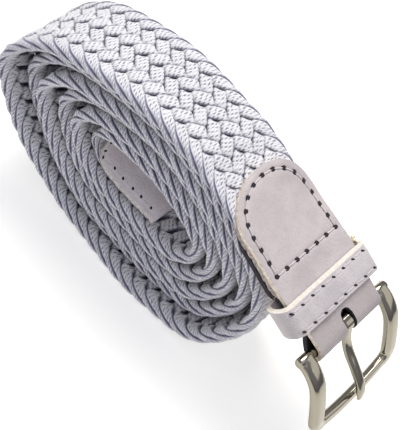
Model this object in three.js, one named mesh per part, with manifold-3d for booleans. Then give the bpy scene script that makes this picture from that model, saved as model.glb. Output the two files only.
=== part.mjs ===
// A braided elastic belt, rolled up and lying on its side, with its buckle hanging free at the front.
// Millimetres. X runs along the roll towards the buckle, Y across the belt, Z up from the surface.
// Most shapes are drawn as a side view in X and Z, and run across the belt in Y.

import * as THREE from 'three'
import { mergeVertices } from 'three/addons/utils/BufferGeometryUtils.js'
import Module from 'manifold-3d'

const wasm = await Module()
wasm.setup()

// Driving sizes
const BELT_WIDTH = 33
const BRAID_THICKNESS = 3.8
const PRESSED_THICKNESS = 2.0
const LEATHER = 1.4
const GAP = 0.3
const HALF_WIDTH = BELT_WIDTH / 2

// The middle of the finished belt's length, which the group is moved back by
const BOX_CENTRE_X = 0.84

const EDGE_ROUND = 1.2
const SIDE_SHARE = 0.45

// How much of a metal section's thickness and width is flat before its corners are rounded off
const SECTION_SIDE = 0.5
const SECTION_FACE = 0.55

// The roll: twelve stations round its loop, clockwise from the underside.
// Each row gives the middle of the braid in the outermost turn and in the innermost one,
// and how many turns lie between the two.
const ROLL_STATIONS = [
  { outerX: 6.0, outerZ: 1.9, innerX: -0.7, innerZ: 24.1, turns: 5 },
  { outerX: -12.7, outerZ: 1.6, innerX: -14.9, innerZ: 23.8, turns: 5 },
  { outerX: -33.4, outerZ: 3.7, innerX: -26.9, innerZ: 24.9, turns: 5 },
  { outerX: -53.4, outerZ: 14.9, innerX: -34.2, innerZ: 28.9, turns: 5 },
  { outerX: -70.8, outerZ: 35.2, innerX: -36.2, innerZ: 34.7, turns: 5 },
  { outerX: -61.0, outerZ: 51.3, innerX: -31.7, innerZ: 38.8, turns: 5 },
  { outerX: -39.7, outerZ: 59.4, innerX: -23.7, innerZ: 40.1, turns: 5 },
  { outerX: -16.7, outerZ: 62.6, innerX: -12.7, innerZ: 40.2, turns: 5 },
  { outerX: 5.8, outerZ: 58.7, innerX: -0.7, innerZ: 37.3, turns: 5 },
  { outerX: 27.3, outerZ: 42.7, innerX: 7.8, innerZ: 33.0, turns: 4 },
  { outerX: 35.6, outerZ: 27.6, innerX: 9.8, innerZ: 27.2, turns: 4 },
  { outerX: 25.4, outerZ: 7.0, innerX: 6.3, innerZ: 22.0, turns: 4 },
]

// How far each stretch of the roll is pushed back across the belt, by turns from the tail's end.
const TURN_OFFSETS = [
  { turn: 0, back: 3.0 },
  { turn: 0.5, back: 3.8 },
  { turn: 0.9, back: 3.0 },
  { turn: 1.33, back: 2.5 },
  { turn: 1.55, back: 3.5 },
  { turn: 1.85, back: 2.5 },
  { turn: 2.2, back: 3.5 },
  { turn: 2.55, back: 5.0 },
  { turn: 2.85, back: 2.2 },
  { turn: 3.2, back: 1.0 },
  { turn: 3.6, back: 1.5 },
  { turn: 4.0, back: 3.0 },
  { turn: 4.33, back: 4.2 },
  { turn: 4.75, back: 2.5 },
  { turn: 5.05, back: 0.3 },
  { turn: 5.6, back: 0 },
]

// Where the outermost turn leaves the roll and runs straight into the buckle's leather
const START_TURN = 0.045
const LEAVE_TURN = 5.56
const LEAVE_HANDLE = 24
const ARRIVE_HANDLE = 12
const STEPS_PER_TURN = 62
const RUNOUT_STEPS = 22
const TURN_STEP = 0.002
const PRESS_EASE_START = 3.5
const PRESS_EASE_END = 8

// The far side of the upper turns sits lower than the near side
const FAR_SAG = 4.0
const SAG_START_X = -34
const SAG_PEAK_X = 8
const SAG_END_X = 34
const SAG_LOW_Z = 18
const SAG_HIGH_Z = 60

// The buckle's bar and the leather tab folded round it
const BAR_X = 54.7
const BAR_Z = 38.7
const BAR_RADIUS = 1.5
const TAB_SLOPE_DEG = 21
const TAB_WIDTH = 34.4
const FOLD_WIDTH = 30.8
const TAPER_START = 5
const TAPER_END = 15
const TAB_LENGTH = 53
const BRAID_END = 20
const JOINED_START = 5.8
const SLOT_WIDTH = 5
const SLOT_REACH = 4.2
const SLOT_DEPTH = 30
const FOLD_INNER = BAR_RADIUS + GAP
const FOLD_OUTER = FOLD_INNER + LEATHER
const FOLD_BACK_DEG = 60
const LAYER_STEP = 2.4
const UNDER_SHORTER = 11
const BRAID_LINE = FOLD_OUTER - LEATHER - GAP - PRESSED_THICKNESS / 2

// The keeper loop
const KEEPER_START = 6.1
const KEEPER_LENGTH = 9
const KEEPER_FAR = 20.9
const KEEPER_NEAR = 21.2
const KEEPER_DROP = 1.6
const KEEPER_LEAN = 0.45

// The buckle frame: its side view from the bar to the front bar
const FRAME_SIDE = [
  { x: BAR_X, z: BAR_Z },
  { x: 58.0, z: 37.6 },
  { x: 61.8, z: 34.8 },
  { x: 64.8, z: 30.2 },
  { x: 67.3, z: 25.3 },
  { x: 70.5, z: 18.4 },
]
const FRAME_WIDTH = 44.8
const ARM_WIDTH = 5.4
const ARM_THICKNESS = 3.4
const FRONT_BAR_WIDTH = 2.8
const FRONT_BAR_THICKNESS = 2.3
const FRONT_BOW = 1.4
const CORNER_RADIUS = 3.5

// The prong
const PRONG_WIDTH = 3.6
const PRONG_THICKNESS = 2.0
const PRONG_RING = 2.9
const PRONG_TIP_START = 0.85
const PRONG_TIP_EASE = 0.35
const PRONG_SIDE = [
  { x: BAR_X + 0.7, z: BAR_Z + 1.9 },
  { x: 56.8, z: 38.0 },
  { x: 58.6, z: 34.5 },
  { x: 61.3, z: 31.6 },
  { x: 65.6, z: 28.4 },
  { x: 70.2, z: 24.6 },
  { x: 72.1, z: 21.9 },
  { x: 73.1, z: 19.4 },
]

// The tail's leather tip
const TIP_LENGTH = 31
const TIP_ROUND = 8
const TIP_PRESSED = 1.4
const TIP_WIDTH = 33
const TIP_LEATHER = 1.0

// A cutting block is this tall, which is more than the belt's height
const CUTTER_HEIGHT = 140
const CUTTER_BASE = -20
const CUTTER_PAST_FOLD = 20

const clamp = THREE.MathUtils.clamp
const smooth = THREE.MathUtils.smoothstep

// Solids

function toSolid(geometry) {
  const plain = geometry.clone()
  for (const name of Object.keys(plain.attributes)) if (name !== 'position') plain.deleteAttribute(name)
  const merged = mergeVertices(plain, 1e-4)
  const vertProperties = Float32Array.from(merged.attributes.position.array)
  const triVerts = Uint32Array.from(merged.index.array)
  return new wasm.Manifold(new wasm.Mesh({ numProp: 3, vertProperties, triVerts }))
}

function toGeometry(solid) {
  const mesh = solid.getMesh()
  const geometry = new THREE.BufferGeometry()
  geometry.setAttribute('position', new THREE.BufferAttribute(Float32Array.from(mesh.vertProperties), 3))
  geometry.setIndex(Array.from(mesh.triVerts))
  return geometry
}

// A skin through rings of points, capped at both ends
function loft(rings) {
  const sides = rings[0].length
  const positions = rings.flat().flatMap((point) => [point.x, point.y, point.z])
  const faces = []
  for (let ring = 0; ring < rings.length - 1; ring++) {
    for (let side = 0; side < sides; side++) {
      const after = (side + 1) % sides
      const a = ring * sides + side
      const b = ring * sides + after
      const c = b + sides
      const d = a + sides
      faces.push(a, b, c, a, c, d)
    }
  }
  const last = (rings.length - 1) * sides
  for (let side = 1; side < sides - 1; side++) {
    faces.push(0, side + 1, side)
    faces.push(last, last + side, last + side + 1)
  }
  const geometry = new THREE.BufferGeometry()
  geometry.setAttribute('position', new THREE.Float32BufferAttribute(positions, 3))
  geometry.setIndex(faces)
  return geometry
}

// A metal bar's section, flat on top with rounded corners, as places across and out of it
function barSection(halfWidth, halfThickness) {
  const side = halfThickness * SECTION_SIDE
  const face = halfWidth * SECTION_FACE
  return [
    [halfWidth, -side],
    [halfWidth, side],
    [face, halfThickness],
    [-face, halfThickness],
    [-halfWidth, side],
    [-halfWidth, -side],
    [-face, -halfThickness],
    [face, -halfThickness],
  ]
}

// A side view in X and Z, run across the belt from one Y to another
function acrossBelt(points, fromY, toY, hole = null) {
  const shape = new THREE.Shape(points.map((point) => new THREE.Vector2(point.x, point.z)))
  if (hole) shape.holes.push(new THREE.Path(hole.map((point) => new THREE.Vector2(point.x, point.z))))
  const geometry = new THREE.ExtrudeGeometry(shape, { depth: toY - fromY, bevelEnabled: false })
  geometry.rotateX(Math.PI / 2)
  geometry.translate(0, toY, 0)
  return geometry
}

// The sagging of the roll's far side, as a shift of every point
function sag(point) {
  const across = clamp((point.y + HALF_WIDTH) / BELT_WIDTH, 0, 1.2)
  const along = smooth(point.x, SAG_START_X, SAG_PEAK_X) * (1 - smooth(point.x, SAG_PEAK_X, SAG_END_X))
  const height = smooth(point.z, SAG_LOW_Z, SAG_HIGH_Z)
  return new THREE.Vector3(point.x, point.y, point.z - FAR_SAG * across * along * height)
}

function sagGeometry(geometry) {
  const positions = geometry.attributes.position
  for (let index = 0; index < positions.count; index++) {
    const moved = sag(new THREE.Vector3().fromBufferAttribute(positions, index))
    positions.setXYZ(index, moved.x, moved.y, moved.z)
  }
  return geometry
}

// The belt's path

const rollSteps = ROLL_STATIONS.map((row) => {
  return new THREE.Vector3(row.outerX - row.innerX, 0, row.outerZ - row.innerZ).divideScalar(row.turns)
})
const rollBases = ROLL_STATIONS.map((row, index) => {
  const inner = new THREE.Vector3(row.innerX, 0, row.innerZ)
  return inner.addScaledVector(rollSteps[index], -index / ROLL_STATIONS.length)
})
const baseLoop = new THREE.CatmullRomCurve3(rollBases, true, 'catmullrom', 0.5)
const stepLoop = new THREE.CatmullRomCurve3(rollSteps, true, 'catmullrom', 0.5)

function rollPoint(turn) {
  const share = turn - Math.floor(turn)
  return baseLoop.getPoint(share).addScaledVector(stepLoop.getPoint(share), turn)
}

function rollHeading(turn) {
  return rollPoint(turn + TURN_STEP).sub(rollPoint(turn - TURN_STEP)).normalize()
}

function turnOffset(turn) {
  const rows = TURN_OFFSETS
  if (turn >= rows[rows.length - 1].turn) return rows[rows.length - 1].back
  const next = rows.findIndex((row) => row.turn > turn)
  const before = rows[next - 1]
  const after = rows[next]
  return before.back + (after.back - before.back) * smooth(turn, before.turn, after.turn)
}

// A place on the leather tab: along it from the bar towards the roll, and out of its upper face
function onTab(along, out) {
  const slope = THREE.MathUtils.degToRad(TAB_SLOPE_DEG)
  const x = BAR_X - along * Math.cos(slope) + out * Math.sin(slope)
  const z = BAR_Z + along * Math.sin(slope) + out * Math.cos(slope)
  return new THREE.Vector3(x, 0, z)
}

function runOut() {
  const leave = rollPoint(LEAVE_TURN)
  const heading = rollHeading(LEAVE_TURN)
  const arrive = onTab(BRAID_END, BRAID_LINE)
  const back = onTab(BRAID_END + ARRIVE_HANDLE, BRAID_LINE)
  return new THREE.CubicBezierCurve3(leave, leave.clone().addScaledVector(heading, LEAVE_HANDLE), back, arrive)
}

// Stations along the belt: the place, the outward direction, and the distance from the tail's end
function beltStations() {
  const stations = []
  const rollTurns = LEAVE_TURN - START_TURN
  const steps = Math.round(rollTurns * STEPS_PER_TURN)
  for (let step = 0; step <= steps; step++) {
    const turn = START_TURN + (rollTurns * step) / steps
    const place = rollPoint(turn)
    const ahead = rollHeading(turn)
    stations.push({ place, ahead, back: turnOffset(turn) })
  }
  const curve = runOut()
  for (let step = 1; step <= RUNOUT_STEPS; step++) {
    const share = step / RUNOUT_STEPS
    stations.push({ place: curve.getPoint(share), ahead: curve.getTangent(share).normalize(), back: 0 })
  }
  let distance = 0
  stations.forEach((station, index) => {
    if (index > 0) distance += station.place.distanceTo(stations[index - 1].place)
    station.distance = distance
    station.out = new THREE.Vector3(-station.ahead.z, 0, station.ahead.x)
  })
  return stations
}

const belt = beltStations()
const BELT_LENGTH = belt[belt.length - 1].distance

function beltAt(distance) {
  const index = clamp(belt.findIndex((station) => station.distance >= distance), 1, belt.length - 1)
  const before = belt[index - 1]
  const after = belt[index]
  const share = (distance - before.distance) / (after.distance - before.distance)
  return {
    place: before.place.clone().lerp(after.place, share),
    out: before.out.clone().lerp(after.out, share).normalize(),
    back: before.back + (after.back - before.back) * share,
  }
}

// The braid is pressed thin where the leather holds it
function braidThickness(distance) {
  const tabReach = TAB_LENGTH - BRAID_END
  const tail = smooth(distance, TIP_LENGTH + PRESS_EASE_START, TIP_LENGTH + PRESS_EASE_END)
  const head = smooth(BELT_LENGTH - distance, tabReach + PRESS_EASE_START, tabReach + PRESS_EASE_END)
  const atTail = TIP_PRESSED + (BRAID_THICKNESS - TIP_PRESSED) * tail
  const atHead = PRESSED_THICKNESS + (BRAID_THICKNESS - PRESSED_THICKNESS) * head
  return Math.min(atTail, atHead)
}

function braidBand() {
  const rings = belt.map((station) => {
    const half = braidThickness(station.distance) / 2
    const section = [
      [half, EDGE_ROUND],
      [half * SIDE_SHARE, 0],
      [-half * SIDE_SHARE, 0],
      [-half, EDGE_ROUND],
      [-half, BELT_WIDTH - EDGE_ROUND],
      [-half * SIDE_SHARE, BELT_WIDTH],
      [half * SIDE_SHARE, BELT_WIDTH],
      [half, BELT_WIDTH - EDGE_ROUND],
    ]
    return section.map(([out, across]) => {
      const point = station.place.clone().addScaledVector(station.out, out)
      point.y = across - HALF_WIDTH + station.back
      const moved = sag(point)
      moved.z = Math.max(moved.z, 0)
      return moved
    })
  })
  return loft(rings)
}

// Points beside the belt's middle line between two distances, so far out of it
function besideBelt(from, to, out, steps) {
  const points = []
  for (let step = 0; step <= steps; step++) {
    const station = beltAt(from + ((to - from) * step) / steps)
    points.push(station.place.clone().addScaledVector(station.out, out))
  }
  return points
}

// A plan outline with one round end, stood up as a tall block that cuts that outline.
// The rows run from the square end to where the round end starts, as an X and a half width.
function roundEndCutter(rows, apexX) {
  const last = rows[rows.length - 1]
  const reach = apexX - last.x
  const arcSteps = 24
  const outline = rows.map((row) => new THREE.Vector2(row.x, -row.half))
  for (let step = 1; step < arcSteps; step++) {
    const angle = -Math.PI / 2 + (Math.PI * step) / arcSteps
    outline.push(new THREE.Vector2(last.x + reach * Math.cos(angle), last.half * Math.sin(angle)))
  }
  rows.toReversed().forEach((row) => outline.push(new THREE.Vector2(row.x, row.half)))
  const geometry = new THREE.ExtrudeGeometry(new THREE.Shape(outline), { depth: CUTTER_HEIGHT, bevelEnabled: false })
  geometry.translate(0, 0, CUTTER_BASE)
  return toSolid(geometry)
}

function buckleTab() {
  const coverStart = BELT_LENGTH - (TAB_LENGTH - BRAID_END) - 3
  const inner = PRESSED_THICKNESS / 2 + GAP
  const outer = inner + LEATHER
  const coverSteps = 16
  const cover = (out) => besideBelt(coverStart, BELT_LENGTH, out, coverSteps)
  const under = (out) => besideBelt(coverStart + UNDER_SHORTER, BELT_LENGTH, out, coverSteps)
  // Round the bar, from the upper face to the lower one
  const fold = []
  const foldSteps = 10
  const joinedOut = FOLD_OUTER - 2 * LEATHER
  for (let step = 0; step <= foldSteps; step++) {
    const angle = THREE.MathUtils.degToRad(90 - ((180 + FOLD_BACK_DEG - 25) * step) / foldSteps)
    fold.push(onTab(-FOLD_OUTER * Math.cos(angle), FOLD_OUTER * Math.sin(angle)))
  }
  const outline = [
    ...cover(outer),
    ...fold,
    onTab(JOINED_START, joinedOut),
    onTab(BRAID_END - LAYER_STEP, joinedOut),
    ...under(-outer).reverse(),
    ...under(-inner),
    onTab(BRAID_END - GAP, BRAID_LINE - inner),
    onTab(BRAID_END - GAP, BRAID_LINE + inner),
    ...cover(inner).reverse(),
  ]
  const holeSides = 20
  const barHole = []
  for (let side = 0; side < holeSides; side++) {
    const angle = (2 * Math.PI * side) / holeSides
    barHole.push(new THREE.Vector3(BAR_X + FOLD_INNER * Math.cos(angle), 0, BAR_Z + FOLD_INNER * Math.sin(angle)))
  }
  const half = TAB_WIDTH / 2
  const foldHalf = FOLD_WIDTH / 2
  const tabX = (along) => onTab(along, FOLD_OUTER).x
  const plan = [
    { x: BAR_X + CUTTER_PAST_FOLD, half: foldHalf },
    { x: tabX(TAPER_START), half: foldHalf },
    { x: tabX(TAPER_END), half },
    { x: tabX(TAB_LENGTH - half), half },
  ]
  const whole = toSolid(acrossBelt(outline, -half, half, barHole))
  // The slot is cut square to the tab, as a half round end and a block that runs past the fold
  const slotRound = SLOT_WIDTH / 2
  const slot = new THREE.BoxGeometry(SLOT_DEPTH, SLOT_WIDTH, SLOT_DEPTH)
  slot.translate(SLOT_DEPTH / 2, 0, 0)
  const slotEnd = new THREE.CylinderGeometry(slotRound, slotRound, SLOT_DEPTH, 16)
  slotEnd.rotateX(Math.PI / 2)
  const slotPlace = onTab(SLOT_REACH - slotRound, 0)
  for (const geometry of [slot, slotEnd]) {
    geometry.rotateY(THREE.MathUtils.degToRad(TAB_SLOPE_DEG))
    geometry.translate(slotPlace.x, slotPlace.y, slotPlace.z)
  }
  const cut = whole.intersect(roundEndCutter(plan, tabX(TAB_LENGTH)))
  return sagGeometry(toGeometry(cut.subtract(toSolid(slot)).subtract(toSolid(slotEnd))))
}

// The keeper: a loop round the tab, drawn as places across and out of it.
// Its near end is slack, and its underside is pushed back towards the roll.
function keeperLoop() {
  const top = FOLD_OUTER + GAP + LEATHER
  const bottom = FOLD_OUTER - 2 * LEATHER - GAP - LEATHER
  const slackBottom = bottom - KEEPER_DROP
  const ends = [
    { middle: (top + bottom) / 2, radius: (top - bottom) / 2, reach: KEEPER_FAR, startDeg: -90 },
    { middle: (top + slackBottom) / 2, radius: (top - slackBottom) / 2, reach: -KEEPER_NEAR, startDeg: 90 },
  ]
  const arcSteps = 8
  const loopOutline = (inset) => {
    return ends.flatMap((end) => {
      const centre = end.reach - Math.sign(end.reach) * end.radius
      const points = []
      for (let step = 0; step <= arcSteps; step++) {
        const angle = THREE.MathUtils.degToRad(end.startDeg + (180 * step) / arcSteps)
        const point = new THREE.Vector2(Math.cos(angle), Math.sin(angle)).multiplyScalar(end.radius - inset)
        points.push(point.add(new THREE.Vector2(centre, end.middle)))
      }
      return points
    })
  }
  const shape = new THREE.Shape(loopOutline(0))
  shape.holes.push(new THREE.Path(loopOutline(LEATHER)))
  const geometry = new THREE.ExtrudeGeometry(shape, { depth: KEEPER_LENGTH, bevelEnabled: false })
  const positions = geometry.attributes.position
  for (let index = 0; index < positions.count; index++) {
    const depth = top - positions.getY(index)
    positions.setZ(index, positions.getZ(index) - KEEPER_LEAN * depth)
  }
  return geometry
}

// A frame of directions on the tab for pieces drawn flat: across the belt, out of the tab, along it
function placeOnTab(mesh, along) {
  const slope = THREE.MathUtils.degToRad(TAB_SLOPE_DEG)
  const across = new THREE.Vector3(0, 1, 0)
  const out = new THREE.Vector3(Math.sin(slope), 0, Math.cos(slope))
  const forward = new THREE.Vector3().crossVectors(across, out)
  mesh.quaternion.setFromRotationMatrix(new THREE.Matrix4().makeBasis(across, out, forward))
  mesh.position.copy(onTab(along, 0))
}

// The buckle frame is drawn flat, as the distance from the bar and the place across, then bent
const frameSide = new THREE.CatmullRomCurve3(FRAME_SIDE.map((row) => new THREE.Vector3(row.x, 0, row.z)))
const FRAME_LENGTH = frameSide.getLength()

function bentPoint(along, across, out) {
  const share = clamp(along / FRAME_LENGTH, 0, 1)
  const place = frameSide.getPointAt(share)
  const ahead = frameSide.getTangentAt(share)
  const normal = new THREE.Vector3(-ahead.z, 0, ahead.x)
  place.addScaledVector(ahead, along - share * FRAME_LENGTH)
  place.addScaledVector(normal, out)
  place.y = across
  return place
}

// The frame's middle line, drawn flat: down the near arm, along the bowed front bar, up the far arm
function frameLine() {
  const armLine = (FRAME_WIDTH - ARM_WIDTH) / 2
  const armEnd = FRAME_LENGTH - FRONT_BOW - CORNER_RADIUS
  const frontHalf = armLine - CORNER_RADIUS
  const armSteps = 12
  const cornerSteps = 5
  const frontSteps = 5
  const half = []
  for (let step = 0; step < armSteps; step++) {
    half.push({ along: (armEnd * step) / armSteps, across: armLine, front: 0 })
  }
  for (let step = 0; step < cornerSteps; step++) {
    const angle = ((Math.PI / 2) * step) / cornerSteps
    const along = armEnd + CORNER_RADIUS * Math.sin(angle)
    half.push({ along, across: frontHalf + CORNER_RADIUS * Math.cos(angle), front: step / cornerSteps })
  }
  for (let step = 0; step < frontSteps; step++) {
    const across = frontHalf * (1 - step / frontSteps)
    half.push({ along: FRAME_LENGTH - FRONT_BOW * (across / frontHalf) ** 2, across, front: 1 })
  }
  const near = half.map((row) => ({ ...row, across: -row.across }))
  return [...near, { along: FRAME_LENGTH, across: 0, front: 1 }, ...half.reverse()]
}

function buckleFrame() {
  const line = frameLine()
  const armLine = (FRAME_WIDTH - ARM_WIDTH) / 2
  const rings = line.map((row, index) => {
    const before = line[Math.max(index - 1, 0)]
    const after = line[Math.min(index + 1, line.length - 1)]
    const heading = new THREE.Vector2(after.along - before.along, after.across - before.across).normalize()
    const outward = new THREE.Vector2(heading.y, -heading.x)
    const half = (ARM_WIDTH + (FRONT_BAR_WIDTH - ARM_WIDTH) * row.front) / 2
    const thick = (ARM_THICKNESS + (FRONT_BAR_THICKNESS - ARM_THICKNESS) * row.front) / 2
    return barSection(half, thick).map(([side, out]) => {
      return bentPoint(row.along + outward.x * side, row.across + outward.y * side, out)
    })
  })
  const bar = new THREE.CylinderGeometry(BAR_RADIUS, BAR_RADIUS, FRAME_WIDTH - ARM_WIDTH, 20)
  bar.translate(BAR_X, 0, BAR_Z)
  const ends = [-1, 1].map((side) => {
    const end = new THREE.CylinderGeometry(ARM_THICKNESS / 2, ARM_THICKNESS / 2, ARM_WIDTH, 20)
    end.translate(BAR_X, side * armLine, BAR_Z)
    return toSolid(end)
  })
  return toGeometry(toSolid(loft(rings.reverse())).add(toSolid(bar)).add(ends[0]).add(ends[1]))
}

// The prong: a ring round the bar, and a pin over the front bar
function buckleProng() {
  const ring = new THREE.LatheGeometry(
    [
      new THREE.Vector2(FOLD_INNER, -PRONG_WIDTH / 2),
      new THREE.Vector2(PRONG_RING, -PRONG_WIDTH / 2),
      new THREE.Vector2(PRONG_RING, PRONG_WIDTH / 2),
      new THREE.Vector2(FOLD_INNER, PRONG_WIDTH / 2),
      new THREE.Vector2(FOLD_INNER, -PRONG_WIDTH / 2),
    ],
    24,
  )
  ring.translate(BAR_X, 0, BAR_Z)
  const side = new THREE.CatmullRomCurve3(PRONG_SIDE.map((row) => new THREE.Vector3(row.x, 0, row.z)))
  const pinSteps = 14
  const rings = []
  for (let step = 0; step <= pinSteps; step++) {
    const share = step / pinSteps
    const place = side.getPointAt(share)
    const ahead = side.getTangentAt(share)
    const out = new THREE.Vector3(-ahead.z, 0, ahead.x)
    const tipEase = 1 - PRONG_TIP_EASE * smooth(share, PRONG_TIP_START, 1)
    const section = barSection((PRONG_WIDTH / 2) * tipEase, (PRONG_THICKNESS / 2) * tipEase)
    rings.push(
      section.map(([across, lift]) => {
        const point = place.clone().addScaledVector(out, lift)
        point.y = across
        return point
      }),
    )
  }
  const clearance = new THREE.CylinderGeometry(FOLD_INNER, FOLD_INNER, PRONG_WIDTH * 2, 24)
  clearance.translate(BAR_X, 0, BAR_Z)
  return toGeometry(toSolid(ring).add(toSolid(loft(rings))).subtract(toSolid(clearance)))
}

// The tail's tip: leather folded over the end of the braid, round at its other end
function tailTip() {
  const inner = TIP_PRESSED / 2 + GAP
  const outer = inner + TIP_LEATHER
  const start = belt[0]
  const endPoint = (along, out) => {
    return start.place.clone().addScaledVector(start.ahead, along).addScaledVector(start.out, out)
  }
  const layerSteps = 12
  const layer = (out) => besideBelt(0, TIP_LENGTH, out, layerSteps)
  const outline = [
    ...layer(outer).reverse(),
    endPoint(-GAP - TIP_LEATHER, outer),
    endPoint(-GAP - TIP_LEATHER, -outer),
    ...layer(-outer),
    ...layer(-inner).reverse(),
    endPoint(-GAP, -inner),
    endPoint(-GAP, inner),
    ...layer(inner),
  ]
  const half = TIP_WIDTH / 2
  const roundX = beltAt(TIP_LENGTH).place.x
  const plan = [
    { x: start.place.x + CUTTER_PAST_FOLD, half },
    { x: roundX + TIP_ROUND, half },
  ]
  const whole = toSolid(acrossBelt(outline, -half, half))
  const geometry = toGeometry(whole.intersect(roundEndCutter(plan, roundX)))
  geometry.translate(0, TURN_OFFSETS[0].back, 0)
  return geometry
}

// Materials

const braidWhite = new THREE.MeshStandardMaterial({ color: 0xe9e9f0, roughness: 0.85 })
const leatherLilac = new THREE.MeshStandardMaterial({ color: 0xdcd2d6, roughness: 0.55 })
const tipLilac = new THREE.MeshStandardMaterial({ color: 0xcdc4cc, roughness: 0.6 })
const nickel = new THREE.MeshStandardMaterial({ color: 0xb8b2a4, roughness: 0.18, metalness: 1 })

function piece(name, geometry, material) {
  const mesh = new THREE.Mesh(geometry, material)
  mesh.name = name
  return mesh
}

const braid = piece('braid_band', braidBand(), braidWhite)
const tip = piece('tail_tip', tailTip(), tipLilac)
const tab = piece('buckle_tab', buckleTab(), leatherLilac)
const keeper = piece('keeper_loop', keeperLoop(), leatherLilac)
placeOnTab(keeper, KEEPER_START + KEEPER_LENGTH)
const frame = piece('buckle_frame', buckleFrame(), nickel)
const prong = piece('buckle_prong', buckleProng(), nickel)

const elasticBelt = new THREE.Group()
elasticBelt.add(braid, tip, tab, keeper, frame, prong)
elasticBelt.position.x = -BOX_CENTRE_X

export default elasticBelt
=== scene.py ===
import math

import bpy
import numpy as np
from mathutils import Matrix, Vector


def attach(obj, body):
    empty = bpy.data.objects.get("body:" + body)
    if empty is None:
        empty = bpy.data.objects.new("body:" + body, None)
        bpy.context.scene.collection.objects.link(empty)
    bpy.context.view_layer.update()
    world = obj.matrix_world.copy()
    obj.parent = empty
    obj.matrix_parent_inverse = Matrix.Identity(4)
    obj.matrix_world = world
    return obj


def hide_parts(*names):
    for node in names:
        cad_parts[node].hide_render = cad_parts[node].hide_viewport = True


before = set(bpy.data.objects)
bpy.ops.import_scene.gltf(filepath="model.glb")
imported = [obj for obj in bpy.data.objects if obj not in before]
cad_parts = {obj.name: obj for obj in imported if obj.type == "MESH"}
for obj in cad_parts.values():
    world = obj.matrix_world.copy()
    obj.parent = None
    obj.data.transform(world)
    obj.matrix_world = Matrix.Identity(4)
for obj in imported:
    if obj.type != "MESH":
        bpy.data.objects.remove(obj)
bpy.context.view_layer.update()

# A braided elastic belt, rolled up, with leather ends, a keeper and a buckle.
# Sizes are in millimetres and become metres where a mesh is made.
# Along the belt a place is (distance from the tail, place across, height out of its middle).
# On the buckle's leather it is (distance along from the bar, place across, height out of the tab's middle).

MM = 0.001
BOX_CENTRE_X = 0.84
BELT_WIDTH = 33.0
HALF_WIDTH = BELT_WIDTH / 2
BRAID_THICKNESS = 3.8
PRESSED_THICKNESS = 2.0
LEATHER = 1.4
GAP = 0.3

# outer X, outer Z, inner X, inner Z, turns between
ROLL_STATIONS = np.array([
    (6.0, 1.9, -0.7, 24.1, 5),
    (-12.7, 1.6, -14.9, 23.8, 5),
    (-33.4, 3.7, -26.9, 24.9, 5),
    (-53.4, 14.9, -34.2, 28.9, 5),
    (-70.8, 35.2, -36.2, 34.7, 5),
    (-61.0, 51.3, -31.7, 38.8, 5),
    (-39.7, 59.4, -23.7, 40.1, 5),
    (-16.7, 62.6, -12.7, 40.2, 5),
    (5.8, 58.7, -0.7, 37.3, 5),
    (27.3, 42.7, 7.8, 33.0, 4),
    (35.6, 27.6, 9.8, 27.2, 4),
    (25.4, 7.0, 6.3, 22.0, 4),
])
# turn, how far that stretch is pushed back
TURN_OFFSETS = [
    (0, 3.0), (0.5, 3.8), (0.9, 3.0), (1.33, 2.5), (1.55, 3.5), (1.85, 2.5), (2.2, 3.5), (2.55, 5.0),
    (2.85, 2.2), (3.2, 1.0), (3.6, 1.5), (4.0, 3.0), (4.33, 4.2), (4.72, 1.8), (4.94, -2.7), (5.03, -2.7),
    (5.16, -0.1), (5.19, -0.2), (5.28, -2.2), (5.33, -2.0), (5.42, 0.1), (5.6, 0),
]
START_TURN = 0.045
LEAVE_TURN = 5.56
TURN_STEP = 0.002
ROLL_ROWS = 2200
LEAVE_HANDLE = 24
ARRIVE_HANDLE = 12
LEAVE_ROWS = 240
LEAD = 6.0

# X, and how far the far rim sinks there
SAG_STEPS = [(-38, 0), (-10, 2.1), (3, 0.8), (8, 0.8), (19, 2.4), (36, 0)]
SAG_LOW_Z = 18
SAG_HIGH_Z = 60
SAG_REACH = 1.2

BAR_X = 54.7
BAR_Z = 38.7
BAR_RADIUS = 1.5
TAB_SLOPE = math.radians(21)
TAB_HALF = 17.2
TAB_LENGTH = 53
TAB_ARCH = TAB_LENGTH - TAB_HALF
ARCH_START = TAB_ARCH - 5
ARCH_POWER = 1.4
ARCH_LEAN = 0.4
ARCH_SHORT = 1.6
ARCH_SKEW = 0.055
ARCH_SPREAD = 0.17
BRAID_END = 20
FOLD_INNER = BAR_RADIUS + GAP
FOLD_OUTER = FOLD_INNER + LEATHER
FOLD_MIDDLE = FOLD_INNER + LEATHER / 2
BRAID_LINE = FOLD_INNER - GAP - PRESSED_THICKNESS / 2

TIP_LENGTH = 31
TIP_HALF = 16.5
TIP_LEATHER = 1.0
TIP_PRESSED = 1.4


# Small helpers

def smooth(value, low, high):
    """Rises from 0 at low to 1 at high, level at both ends"""
    share = np.clip((np.asarray(value, float) - low) / (high - low), 0, 1)
    return share * share * (3 - 2 * share)


def smooth_steps(value, knots):
    """A curve through knots of (place, height), level at each of them"""
    steps = zip(knots, knots[1:])
    return knots[0][1] + sum((h1 - h0) * smooth(value, x0, x1) for (x0, h0), (x1, h1) in steps)


def blend(first, second, share):
    return first + (second - first) * share


def dent(distance, size):
    """Sinks at no distance; size is (depth, width)"""
    depth, width = size
    return -depth * np.exp(-(distance / width) ** 2)


def unit(rows):
    return rows / np.linalg.norm(rows, axis=-1, keepdims=True)


def run_along(points):
    """The distance along a line from its first point to each of its points"""
    return np.concatenate([[0], np.cumsum(np.linalg.norm(np.diff(points, axis=0), axis=1))])


def look_up(run, distances, rows):
    """Each column of the rows at the given runs"""
    return [np.interp(run, distances, column) for column in rows.T]


def hermite(p1, p2, t1, t2, w):
    cubic = 2 * p1 - 2 * p2 + t1 + t2
    square = 3 * p2 - 3 * p1 - 2 * t1 - t2
    return ((cubic * w + square) * w + t1) * w + p1


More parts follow.
